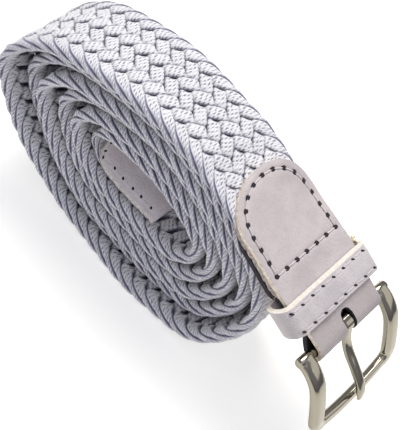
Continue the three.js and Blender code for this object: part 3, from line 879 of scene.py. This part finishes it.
# how far below the upper leather each pressed layer lies, and half its thickness
SIDE_LAYERS = [(0.4, 0.46), (1.2, 0.44), (1.95, 0.38)]
SIDE_START = 17.5
SIDE_END = 46.5
SIDE_INSET = 0.75
SIDE_INSET_STEP = 0.12
SIDE_RADIUS = 0.62


def tab_holes():
    """Places of the stitch holes, along the tab and across it: the cross row, then round the arch"""
    row = np.array([(STITCH_ROW, y) for y in np.linspace(-STITCH_HALF, STITCH_HALF, STITCH_ROW_HOLES)])
    straight = TAB_ARCH - STITCH_ROW
    arc = math.pi * STITCH_HALF
    run = (2 * straight + arc) * np.arange(1, STITCH_LOOP_GAPS) / STITCH_LOOP_GAPS
    angle = np.clip((run - straight) / STITCH_HALF, 0, math.pi)
    along = STITCH_ROW + np.minimum(run, straight) - np.maximum(run - straight - arc, 0)
    loop = np.stack([along + STITCH_HALF * np.sin(angle), STITCH_HALF * np.cos(angle)], 1)
    return row, np.vstack([row[-1:], loop, row[:1]])


def groove_distance(along, across):
    """How far a place is from the stitching"""
    beyond = np.maximum(along - TAB_ARCH, 0)
    off_loop = np.abs(np.hypot(beyond, across) - STITCH_HALF)
    loop = np.hypot(off_loop, np.maximum(STITCH_ROW - along, 0))
    row = np.hypot(along - STITCH_ROW, np.maximum(np.abs(across) - STITCH_HALF, 0))
    return np.minimum(loop, row)


def tab_relief(along, across, grooved=1.0):
    """How far the tab's upper face stands out of or into its plain surface"""
    to_edge = TAB_HALF - np.hypot(np.maximum(along - TAB_ARCH, 0), across)
    edge = dent(np.maximum(to_edge, 0), TAB_EDGE)
    row, loop = tab_holes()
    holes = np.vstack([row, loop[1:-1]])
    dents = sum(dent(np.hypot(along - hole[0], across - hole[1]), TAB_DENT) for hole in holes)
    sunk = grooved * (dent(groove_distance(along, across), TAB_GROOVE) + np.maximum(dents, -TAB_DENT[0]))
    ripple = 0.05 * np.sin(along * 0.5 + 1.3 * np.sin(across * 0.31)) * np.sin(across * 0.42 + 0.8)
    fine_ripple = 0.015 * np.sin(along * 1.3 - across * 0.7)
    return (edge + sunk) * smooth(along, RELIEF_START, RELIEF_FULL) + ripple + fine_ripple


def strip_route():
    """The strip's middle line, as distances and rows of (along the tab, out of it)"""
    top = [(a, FOLD_MIDDLE) for a in np.arange(TAB_LENGTH, 0, -0.5)]
    fold = [(-FOLD_MIDDLE * math.cos(a), FOLD_MIDDLE * math.sin(a)) for a in np.radians(FOLD_DEGREES)]
    joined = FOLD_MIDDLE - LEATHER
    below = BRAID_LINE - PRESSED_THICKNESS / 2 - GAP - LEATHER / 2
    under = [(JOINED_START - 2, joined - 1.7), (JOINED_START, joined - 0.15), (8, joined)]
    under += [(JOINED_END, joined), (18.2, joined - 0.5), (19.6, below + 0.4), (PARTED_START, below)]
    under += [(a, below) for a in np.arange(PARTED_START + 1.0, LOWER_END + 1.0)]
    return open_curve([*top, *fold, *under], 4)


def strip_rows(distances, route):
    """Distances along the strip and its half widths there"""
    rows, width = arched_rows(distances[-1], TAB_HALF, LOWER_ARCH, count=34, step=0.4)
    along, out = look_up(rows, distances, route)
    half = blend(FOLD_HALF, TAB_HALF, smooth(along, TAPER_START, TAPER_END))
    half = half * width ** np.where(out < 0, LOWER_ARCH_POWER, 1)
    return rows, half - LOWER_INSET * (out < 0) * smooth(along, JOINED_START + 6, JOINED_START + 14)


def bend_to_slot(rows, across):
    """The strip's rows by the slot for the prong follow its round ends"""
    dip = np.sqrt(np.maximum(SLOT_HALF ** 2 - across ** 2, 0))
    upper = np.clip((rows - SLOT_START) / SLOT_BEND + 1, 0, 1) * (rows <= SLOT_START + 0.2)
    lower = np.clip((SLOT_END - rows) / SLOT_BEND + 1, 0, 1) * (rows >= SLOT_END - 0.2)
    return rows - dip * upper + dip * lower


def make_tab():
    distances, route = strip_route()
    rows, half = strip_rows(distances, route)
    edge = SLOT_HALF / FOLD_HALF
    side = np.linspace(edge, 1, SIDE_COLUMNS)
    share = np.concatenate([-side[::-1], np.linspace(-edge, edge, SLOT_COLUMNS)[1:-1], side])
    across = half[:, None] * share[None, :]
    bent_rows = bend_to_slot(rows[:, None], across)
    along, out = look_up(bent_rows, distances, route)
    lift = np.where(bent_rows < TAB_LENGTH, tab_relief(along, across), 0)
    points = tab_point(along, across, out + lift)
    row = ((rows[1:] + rows[:-1]) / 2)[:, None]
    off_middle = np.abs((share[1:] + share[:-1]) / 2)[None, :]
    slot = (row > SLOT_START) & (row < SLOT_END) & (off_middle < edge)
    # painted shade: the cut edges round the slot for the prong get the near-black lining material, for the
    # shade in the opening
    by_slot = (row > SLOT_START - SLOT_DARK) & (row < SLOT_END + SLOT_DARK)
    by_slot = by_slot & (off_middle < edge * SLOT_DARK_SPREAD)
    dark_edged = by_slot | (row > DARK_EDGE_START)
    # face, its cut edge, the lining on the other side; from the fourth on, the face with a near-black cut
    # edge
    materials = [TAB, TAB_RIM, LINING_AND_SLOT_SHADE, TAB, LINING_AND_SLOT_SHADE]
    faces = grid_faces(len(rows), len(share))[~slot]
    # painted shade: the shade attribute darkens the fold round the bar
    piece = make_piece("tab_leather", points, faces, materials, "belt", "tab_leather", ["buckle_tab"],
                       indexes=np.where(dark_edged[~slot], 3, 0), shade=smooth(along, FOLD_SHADE_START, FOLD_SHADE_END))
    thicken(piece, LEATHER, TAB_BEVEL, lining_and_slot_shade=2)


def make_tab_sides():
    """The pressed layers seen along the tab's sides, between its upper leather and the lower one"""
    along = np.arange(SIDE_START, SIDE_END, 0.4)
    arched = np.sqrt(np.maximum(TAB_HALF ** 2 - np.maximum(along - TAB_ARCH, 0) ** 2, 0)) / TAB_HALF
    up = (math.sin(TAB_SLOPE), 0, math.cos(TAB_SLOPE))
    parts = []
    for sign in (-1, 1):
        for layer, (depth, half_thick) in enumerate(SIDE_LAYERS):
            uneven = 0.1 * np.sin(along * 1.7 + layer) + 0.06 * np.sin(along * 4.1)
            reach = TAB_HALF - SIDE_INSET - SIDE_INSET_STEP * layer + uneven
            out = FOLD_INNER - depth + 0.08 * np.sin(along * 2.3 + 2 * layer)
            line = tab_point(along, sign * reach * arched, out)
            parts.append(tube(line, SIDE_RADIUS, 10, half_thick / SIDE_RADIUS, up))
    make_piece("tab_sides", *join(parts), [PRESSED_LAYERS], "belt", "tab_leather", ["buckle_tab"])


def make_tab_stitches():
    row, loop = tab_holes()

    def surface(along, across, out):
        return tab_point(along, across, FOLD_OUTER + tab_relief(along, across, grooved=0.0) + out + 0.02)

    threads = stitch_threads(surface, row, **TAB_THREAD) + stitch_threads(surface, loop, **TAB_THREAD)
    pits = stitch_holes(surface, row, **TAB_HOLE) + stitch_holes(surface, loop, **TAB_HOLE)[1:-1]
    make_stitches("tab_stitches", threads, pits, "tab_leather")


# The keeper: a loop round the tab with a slack near end, its underside pushed back towards the roll

KEEPER_START = 6.1
KEEPER_LENGTH = 9.0
KEEPER_FAR = 20.9
KEEPER_NEAR = 21.2
KEEPER_DROP = 1.6
KEEPER_LEAN = 0.45
KEEPER_SLANT = 0.5
KEEPER_TOP = FOLD_OUTER + GAP + LEATHER
KEEPER_BOTTOM = FOLD_OUTER - 2 * LEATHER - GAP - LEATHER
KEEPER_ROUND_STEPS = 220
KEEPER_FACE_STEPS = 26
KEEPER_RIM_STEPS = 6
RIM_BULGE = 0.12
KEEPER_EDGE = (0.22, 0.9)
# the two rows of stitches along the keeper, with shifts of their first holes across it
KEEPER_ROWS = (1.7, 7.9)
KEEPER_ROW_SHIFTS = (0.0, 0.6)
KEEPER_HOLES = np.linspace(-18.6, 17.4, 8)
KEEPER_GROOVE = (0.16, 0.5)
KEEPER_THREAD = {"radius": 0.26, "cover": 0.75}
KEEPER_HOLE = {"long": 0.8, "wide": 0.36, "lean": 0.5}


def keeper_skin(inset):
    """Evenly spaced places round the loop, across the tab and out of it"""
    slack = KEEPER_BOTTOM - KEEPER_DROP
    ends = []
    for bottom, reach, start in ((KEEPER_BOTTOM, KEEPER_FAR, -90), (slack, -KEEPER_NEAR, 90)):
        radius = (KEEPER_TOP - bottom) / 2
        centre = (reach - math.copysign(radius, reach), (KEEPER_TOP + bottom) / 2)
        angle = np.radians(np.arange(start, start + 181, 10))
        ends.append(centre + (radius - inset) * np.stack([np.cos(angle), np.sin(angle)], 1))
    contour = np.vstack([*ends, ends[0][:1]])
    run = run_along(contour)
    return look_up(np.linspace(0, run[-1], KEEPER_ROUND_STEPS, endpoint=False), run, contour)


def keeper_place(across, out, along):
    """along runs from the roll's side of the keeper towards the buckle"""
    flat = tab_line(KEEPER_START + KEEPER_LENGTH - along + KEEPER_LEAN * (KEEPER_TOP - out), out)
    return np.stack([flat[..., 0], across, flat[..., 1]], -1)


def keeper_wave(across, along):
    return 0.1 * np.sin(across * 0.33 + 0.6) * np.sin(along * 0.6)


def keeper_cut():
    """Round the leather's cut: how deep in its thickness, and how far along the keeper.
    The outer face, the slanted rim on the roll's side, the inner face, the straight rim."""
    face = np.linspace(0, 1, KEEPER_FACE_STEPS)
    rim = np.linspace(0, 1, KEEPER_RIM_STEPS)
    bulge = RIM_BULGE * np.sin(math.pi * rim)
    depth = np.concatenate([0 * face, rim[1:], 1 + 0 * face[1:], 1 - rim[1:-1]])
    slanted = KEEPER_SLANT * (1 - rim) + bulge
    outer = blend(KEEPER_LENGTH, KEEPER_SLANT, face)
    along = np.concatenate([outer, slanted[1:], KEEPER_LENGTH * face[1:], KEEPER_LENGTH + bulge[1:-1]])
    return depth, along


def make_keeper():
    (outer_across, outer_out), (inner_across, inner_out) = (keeper_skin(inset) for inset in (0, LEATHER))
    cut_depth, cut_along = keeper_cut()
    depth = cut_depth[:, None]
    along = cut_along[:, None]
    on_face = np.clip(along, KEEPER_SLANT, KEEPER_LENGTH)
    to_rim = np.minimum(on_face - KEEPER_SLANT, KEEPER_LENGTH - on_face)
    dents = dent(to_rim, KEEPER_EDGE) + sum(dent(on_face - row, KEEPER_GROOVE) for row in KEEPER_ROWS)
    on_top = smooth(outer_out, KEEPER_TOP - LEATHER, KEEPER_TOP - LEATHER / 2)
    across = blend(outer_across, inner_across, depth)
    relief = (keeper_wave(outer_across, on_face) + dents) * on_top
    out = blend(outer_out, inner_out, depth) + relief * (1 - depth)
    points = keeper_place(across, out, along).reshape(-1, 3)
    faces = outward(points, sweep_faces(len(cut_depth), KEEPER_ROUND_STEPS, closed=True))
    on_rim = cut_depth != np.roll(cut_depth, -1)
    make_piece("keeper_leather", points, faces, [KEEPER, KEEPER_RIM], "belt", "tab_leather",
               ["keeper_loop"], indexes=np.repeat(on_rim, KEEPER_ROUND_STEPS), crisp=True)


def make_keeper_stitches():
    def surface(across, along, out):
        lifted = KEEPER_TOP - 0.06 + keeper_wave(across, along) + out
        return keeper_place(across, lifted, along)

    threads, pits = [], []
    for row, shift in zip(KEEPER_ROWS, KEEPER_ROW_SHIFTS):
        holes = np.stack([KEEPER_HOLES + shift, np.full(len(KEEPER_HOLES), row)], 1)
        threads += stitch_threads(surface, holes, **KEEPER_THREAD)
        pits += stitch_holes(surface, holes, **KEEPER_HOLE)
    make_stitches("keeper_stitches", threads, pits, "tab_leather")


# The tail's leather tip, folded over the braid's end

TIP_ROUND = 8
TIP_MIDDLE = TIP_PRESSED / 2 + GAP + TIP_LEATHER / 2
TIP_FOLD = 0.8
TIP_INSET = 1.3
TIP_INSET_BELOW = 4.2
TIP_BEVEL = 0.16
TIP_COLUMNS = 61
TIP_STITCH_START = 2.6
TIP_STITCH_PITCH = 4.1
TIP_STITCH_IN = 1.7
TIP_STITCH_IN_NEAR = TIP_INSET + 3.1
TIP_STITCH_ARCH = 5.4
TIP_STITCH_WANDER = 0.4
TIP_GROOVE = (0.14, 0.5)
TIP_THREAD = {"radius": 0.14, "cover": 1.0}
TIP_HOLE = {"long": 0.72, "wide": 0.42, "lean": 0.9}


def tip_relief(distance, across, grooved=1.0):
    off_stitches = TIP_HALF - np.abs(across) - TIP_STITCH_IN
    straight = smooth(TIP_LENGTH - TIP_ROUND - distance, -1, 1)
    groove = dent(off_stitches, TIP_GROOVE) * straight
    ripple = 0.08 * np.sin(distance * 0.6 + 0.5) * np.sin(across * 0.25 + 0.3)
    return grooved * groove + ripple


def make_tip():
    fold = np.radians(np.arange(-90, 91, 15))
    route = [(s, -TIP_MIDDLE) for s in np.arange(TIP_LENGTH, 0, -1.0)]
    route += [(-TIP_FOLD * math.cos(a), TIP_MIDDLE * math.sin(a)) for a in fold]
    route += [(s, TIP_MIDDLE) for s in np.arange(1.0, TIP_LENGTH + 0.1, 1.0)]
    distances, places = open_curve(route, 3)
    rows, width = arched_rows(distances[-1], TIP_ROUND, TIP_ROUND, count=22, step=0.5)
    across = TIP_HALF * width[:, None] * np.linspace(-1, 1, TIP_COLUMNS)[None, :]
    distance, out = look_up(np.broadcast_to(rows[:, None], across.shape), distances, places)
    lift = tip_relief(distance, across) * np.sign(out)
    inset = np.where(out > 0, TIP_INSET_BELOW, TIP_INSET)
    points = belt_point(distance, across + inset * smooth(-across, 0, TIP_HALF), out + lift)
    faces = grid_faces(len(rows), TIP_COLUMNS).reshape(-1, 4)
    piece = make_piece("tip_leather", points, faces, [TIP, TIP_RIM], "belt", "tip_leather", ["tail_tip"])
    thicken(piece, TIP_LEATHER, TIP_BEVEL)


def make_tip_stitches():
    straight_end = TIP_LENGTH - TIP_ROUND
    straight = np.arange(TIP_STITCH_START, straight_end + 0.1, TIP_STITCH_PITCH)
    side = TIP_HALF - TIP_STITCH_IN
    angle = np.linspace(0, math.pi, 12)[1:-1]
    arch = np.stack([straight_end + TIP_STITCH_ARCH * np.sin(angle), -side * np.cos(angle)], 1)
    near = np.stack([straight, np.full(len(straight), TIP_STITCH_IN_NEAR - TIP_HALF)], 1)
    far = np.stack([straight[::-1], np.full(len(straight), side)], 1)
    holes = np.vstack([near, arch, far])
    holes = holes + np.random.default_rng(3).uniform(-TIP_STITCH_WANDER, TIP_STITCH_WANDER, holes.shape)

    def surface(distance, across, out):
        lifted = TIP_MIDDLE + TIP_LEATHER / 2 + 0.05 + out + tip_relief(distance, across, grooved=0.0)
        return belt_point(distance, across, -lifted)

    threads = stitch_threads(surface, holes, **TIP_THREAD)
    make_stitches("tip_stitches", threads, stitch_holes(surface, holes, **TIP_HOLE), "tip_leather")


# The buckle

FRAME_SIDE = [(BAR_X, BAR_Z), (58.0, 37.6), (61.8, 34.8), (64.8, 30.2), (67.3, 25.3), (70.5, 18.4)]
FRAME_WIDTH = 44.8
ARM_WIDTH = 5.9
ARM_THICKNESS = 3.4
ARM_LINE = (FRAME_WIDTH - ARM_WIDTH) / 2
FRONT_BAR_WIDTH = 3.6
FRONT_BAR_THICKNESS = 3.0
FRONT_BAR_DROP = 0.35
FRONT_BOW = 1.4
CORNER_RADIUS = 3.5
ARM_RINGS = 40
CORNER_RINGS = 14
FRONT_RINGS = 30
BAR_SIDES = 28
SECTION_SIDE = 0.5
SECTION_FACE = 0.55
SECTION_SOFT = 0.2
SECTION_EASE = 0.985
# share of the radius, distance in from the barrel's end
BARREL_ROWS = [(0.5, -0.06), (0.84, 0.18), (1.0, 0.65)]
BARREL_TIP = (0.04, -0.1)

PRONG_WIDTH = 3.6
PRONG_THICKNESS = 2.0
PRONG_RING = 2.9
PRONG_SIDE = [
    (BAR_X + 0.7, BAR_Z + 1.9), (56.8, 38.0), (58.6, 34.5), (61.3, 31.6), (65.6, 28.4), (70.2, 24.6),
    (72.1, 21.9), (73.1, 19.4),
]
RING_SIDES = 36
RING_BEVEL_IN = 0.2
RING_BEVEL_OUT = 0.35
PRONG_NARROW = 0.35
NARROW_START = 0.85
LAST_RINGS_START = 0.9
NOSE_START = 0.975
NOSE_LENGTH = 0.026
NOSE_END_SIZE = 0.02


def metal_section(half_width, half_thickness):
    """An eight-sided bar section, each corner cut small, as places across it and out of it"""
    side = half_thickness * SECTION_SIDE
    face = half_width * SECTION_FACE
    corners = np.array([
        (half_width, -side), (half_width, side), (face, half_thickness), (-face, half_thickness),
        (-half_width, side), (-half_width, -side), (-face, -half_thickness), (face, -half_thickness),
    ])
    points = []
    for index, corner in enumerate(corners):
        before = corners[index - 1] - corner
        after = corners[(index + 1) % len(corners)] - corner
        points.append(corner + before * SECTION_SOFT)
        points.append(corner * SECTION_EASE + (before + after) * SECTION_SOFT ** 2)
        points.append(corner + after * SECTION_SOFT)
    return np.array(points)


def frame_line():
    """The frame's middle line drawn flat: distance from the bar, place across, share of the front bar"""
    length = open_curve(FRAME_SIDE)[0][-1]
    arm_end = length - FRONT_BOW - CORNER_RADIUS
    front_half = ARM_LINE - CORNER_RADIUS
    half = [(arm_end * step / ARM_RINGS, ARM_LINE, 0) for step in range(ARM_RINGS)]
    for step in range(CORNER_RINGS):
        share = step / CORNER_RINGS
        angle = math.pi / 2 * share
        along = arm_end + CORNER_RADIUS * math.sin(angle)
        half.append((along, front_half + CORNER_RADIUS * math.cos(angle), share))
    for step in range(FRONT_RINGS):
        share = 1 - step / FRONT_RINGS
        half.append((length - FRONT_BOW * share ** 2, front_half * share, 1))
    near = [(along, -across, front) for along, across, front in half]
    return np.array([*near, (length, 0, 1), *half[::-1]])


def side_line(points):
    """A curve in X and Z, as distances and rows of X, Z and the heading in X and in Z"""
    distances, places = open_curve(points)
    return distances, np.hstack([places, unit(np.gradient(places, axis=0))])


def bent(along, across, out):
    """A place on the flat frame, bent to its side view"""
    distances, rows = side_line(FRAME_SIDE)
    inside = np.clip(along, 0, distances[-1])
    x, z, ahead_x, ahead_z = look_up(inside, distances, rows)
    over = along - inside
    return np.stack([x + ahead_x * over - ahead_z * out, across, z + ahead_z * over + ahead_x * out], -1)


def lathe_y(profile, sides=BAR_SIDES, centre_y=0.0):
    """A ring or rod round the bar: profile rows are (radius, place across)"""
    profile = np.array(profile, float)
    angle = (np.arange(sides) / sides * 2 * math.pi)[None, :]
    radius = profile[:, 0:1]
    x = BAR_X + radius * np.cos(angle)
    z = BAR_Z + radius * np.sin(angle)
    y = centre_y + profile[:, 1:2] + 0 * x
    return np.stack([x, y, z], -1).reshape(-1, 3)


def frame_bow():
    """The two arms and the front bar"""
    line = frame_line()
    heading = unit(np.gradient(line[:, :2], axis=0))
    beside = np.stack([heading[:, 1], -heading[:, 0]], 1)
    rings = []
    for (along, across, front), side in zip(line, beside):
        half = blend(ARM_WIDTH, FRONT_BAR_WIDTH, front) / 2
        thick = blend(ARM_THICKNESS, FRONT_BAR_THICKNESS, front) / 2
        section = metal_section(half, thick)
        flat = (along, across) + section[:, 0:1] * side
        rings.append(bent(flat[:, 0], flat[:, 1], section[:, 1] - FRONT_BAR_DROP * front))
    return np.vstack(rings), sweep_faces(len(rings), len(rings[0]))


def barrel_profile():
    """The round ends of the arms, which hold the bar"""
    half = ARM_WIDTH / 2
    radius = ARM_THICKNESS / 2
    near = [(BARREL_TIP[0], BARREL_TIP[1] - half)]
    near += [(radius * share, inset - half) for share, inset in BARREL_ROWS]
    return near + [(radius, -across) for radius, across in near[::-1]]


def make_frame():
    bar = [(BAR_RADIUS, -ARM_LINE), (BAR_RADIUS, ARM_LINE)]
    parts = [frame_bow(), (lathe_y(bar), sweep_faces(len(bar), BAR_SIDES))]
    barrel = barrel_profile()
    for sign in (-1, 1):
        parts.append((lathe_y(barrel, centre_y=sign * ARM_LINE), sweep_faces(len(barrel), BAR_SIDES)))
    make_piece("frame_metal", *join(parts), [NICKEL], "frame", "nickel", ["buckle_frame"], crisp=True)


def prong_ring():
    """The prong's ring round the bar"""
    half = PRONG_WIDTH / 2
    near = [
        (FOLD_INNER, RING_BEVEL_IN - half), (FOLD_INNER + RING_BEVEL_IN, -half),
        (PRONG_RING - RING_BEVEL_OUT, -half), (PRONG_RING, RING_BEVEL_OUT - half),
    ]
    ring = near + [(radius, -across) for radius, across in near[::-1]]
    return lathe_y(ring, RING_SIDES), sweep_faces(len(ring), RING_SIDES, closed=True)


def prong_pin():
    """The prong's pin, which narrows to a round nose"""
    distances, rows = side_line(PRONG_SIDE)
    rings = []
    last_shares = 1 - (1 - LAST_RINGS_START) * np.cos(np.linspace(0.15, math.pi / 2, 9))
    for share in [*np.linspace(0, LAST_RINGS_START, 44), *last_shares]:
        x, z, ahead_x, ahead_z = look_up(share * distances[-1], distances, rows)
        size = 1 - PRONG_NARROW * float(smooth(share, NARROW_START, 1))
        if share > NOSE_START:
            size *= math.sqrt(max(1 - ((share - NOSE_START) / NOSE_LENGTH) ** 2, NOSE_END_SIZE))
        section = metal_section(PRONG_WIDTH / 2 * size, PRONG_THICKNESS / 2 * size)
        ring = [x - ahead_z * section[:, 1], section[:, 0], z + ahead_x * section[:, 1]]
        rings.append(np.stack(ring, -1))
    return np.vstack(rings), sweep_faces(len(rings), len(rings[0]))


def make_prong():
    parts = [prong_ring(), prong_pin()]
    make_piece("prong_metal", *join(parts), [NICKEL], "prong", "nickel", ["buckle_prong"], crisp=True)


# A few loose fibres at the tab's far edge

FIBRES = 16
FIBRE_PLACE = 17.5
FIBRE_SPREAD = 1.2
FIBRE_LENGTHS = (1.6, 3.4)
FIBRE_RADIUS = 0.09


def make_tuft():
    rng = np.random.default_rng(7)
    parts = []
    for _ in range(FIBRES):
        along = FIBRE_PLACE + rng.uniform(-FIBRE_SPREAD, FIBRE_SPREAD)
        root = tab_point(along, TAB_HALF - 0.2, FOLD_OUTER - 0.5 + rng.uniform(-0.6, 0.2))
        way = unit(np.array([rng.uniform(-0.5, 0.5), 1.0, rng.uniform(-0.1, 0.7)]))
        curl = np.array([rng.uniform(-0.4, 0.4), 0, rng.uniform(-0.3, 0.3)])
        run = np.linspace(0, rng.uniform(*FIBRE_LENGTHS), 7)[:, None]
        parts.append(tube(root + way * run + curl * run ** 2 * 0.3, FIBRE_RADIUS, 6))
    make_piece("thread_tuft", *join(parts), [TUFT], "belt", "tab_leather")


# Camera, light and floor

CAMERA_TARGET = np.array([0.46, 0, 28.2])
CAMERA_TOWARDS = np.array([0.1726, -0.6308, 0.7565])
CAMERA_TURN = math.radians(-44.6)
CAMERA_DISTANCE = 391.1
FOCAL_PIXELS = 1299.6
IMAGE_HEIGHT = 430
SENSOR = 36
FLOOR_HALF = 3.0
FLOOR_DROP = 0.0002
LIGHT_TARGET = (0, 0, 0.03)
# name, place, size, power, colour
LIGHTS = [
    ("key", (-0.3, 0.34, 0.8), (0.5, 0.4), 7.3, (1.0, 0.99, 0.975)),
    ("top", (0.0, -0.1, 0.95), (1.0, 1.0), 2.1, (0.97, 0.98, 1.0)),
    ("front", (0.2, -0.6, 0.22), (0.4, 0.3), 0.32, (1.0, 1.0, 1.0)),
    ("fill", (0.57, 0.66, 0.56), (0.75, 0.5), 1.0, (1.0, 0.99, 0.97)),
]


def make_camera():
    towards = unit(CAMERA_TOWARDS)
    first = unit(np.array([1.0, 0, 0]) - towards * towards[0])
    second = np.cross(towards, first)
    right = math.cos(CAMERA_TURN) * first - math.sin(CAMERA_TURN) * second
    up = math.sin(CAMERA_TURN) * first + math.cos(CAMERA_TURN) * second
    place = (CAMERA_TARGET + towards * CAMERA_DISTANCE) * MM
    data = bpy.data.cameras.new("camera")
    data.lens = FOCAL_PIXELS * SENSOR / IMAGE_HEIGHT
    data.sensor_width = SENSOR
    data.sensor_fit = "AUTO"
    data.clip_start = 0.01
    data.clip_end = 20
    camera = new_object("camera", data)
    rows = np.stack([right, up, towards, place], 1).tolist()
    camera.matrix_world = Matrix([*rows, (0, 0, 0, 1)])
    bpy.context.scene.camera = camera


def make_light(name, place, size, power, colour):
    data = bpy.data.lights.new(name, "AREA")
    data.shape = "RECTANGLE"
    data.size, data.size_y = size
    data.energy = power
    data.color = colour
    light = new_object(name, data)
    light.location = place
    light.rotation_euler = (Vector(LIGHT_TARGET) - Vector(place)).to_track_quat("-Z", "Y").to_euler()


def make_floor():
    n = new_material("floor")
    n.set(Base_Color=n.mix(n.noise(3), srgb(216, 215, 210), srgb(221, 220, 215)), Roughness=0.9)
    n.set(Emission_Color=(1, 1, 0.995, 1), Emission_Strength=0.5)
    mesh = bpy.data.meshes.new("floor")
    corners = [(x * FLOOR_HALF, y * FLOOR_HALF, 0) for x, y in ((-1, -1), (1, -1), (1, 1), (-1, 1))]
    mesh.from_pydata(corners, [], [(0, 1, 2, 3)])
    mesh.materials.append(n.owner)
    floor = new_object("floor", mesh)
    floor.location.z = -FLOOR_DROP


def make_world():
    """Soft light all round, a little stronger from above"""
    n = Nodes(bpy.data.worlds.new("studio"), "Background")
    way = n.add("TexCoord").outputs["Generated"]
    height = n.add("SeparateXYZ", {"Vector": way}).outputs["Z"]
    n.set(Color=(0.81, 0.81, 0.95, 1), Strength=n.step(height, 0.0, 0.55, 0.26, 0.46))
    bpy.context.scene.world = n.owner


def set_view():
    view = bpy.context.scene.view_settings
    view.view_transform = "Standard"
    view.look = "None"
    view.exposure = 0.0
    view.gamma = 1.0


make_camera()
make_braid()
make_tab()
make_tab_sides()
make_tab_stitches()
make_keeper()
make_keeper_stitches()
make_tip()
make_tip_stitches()
make_frame()
make_prong()
make_tuft()
make_floor()
for light_values in LIGHTS:
    make_light(*light_values)
make_world()
set_view()
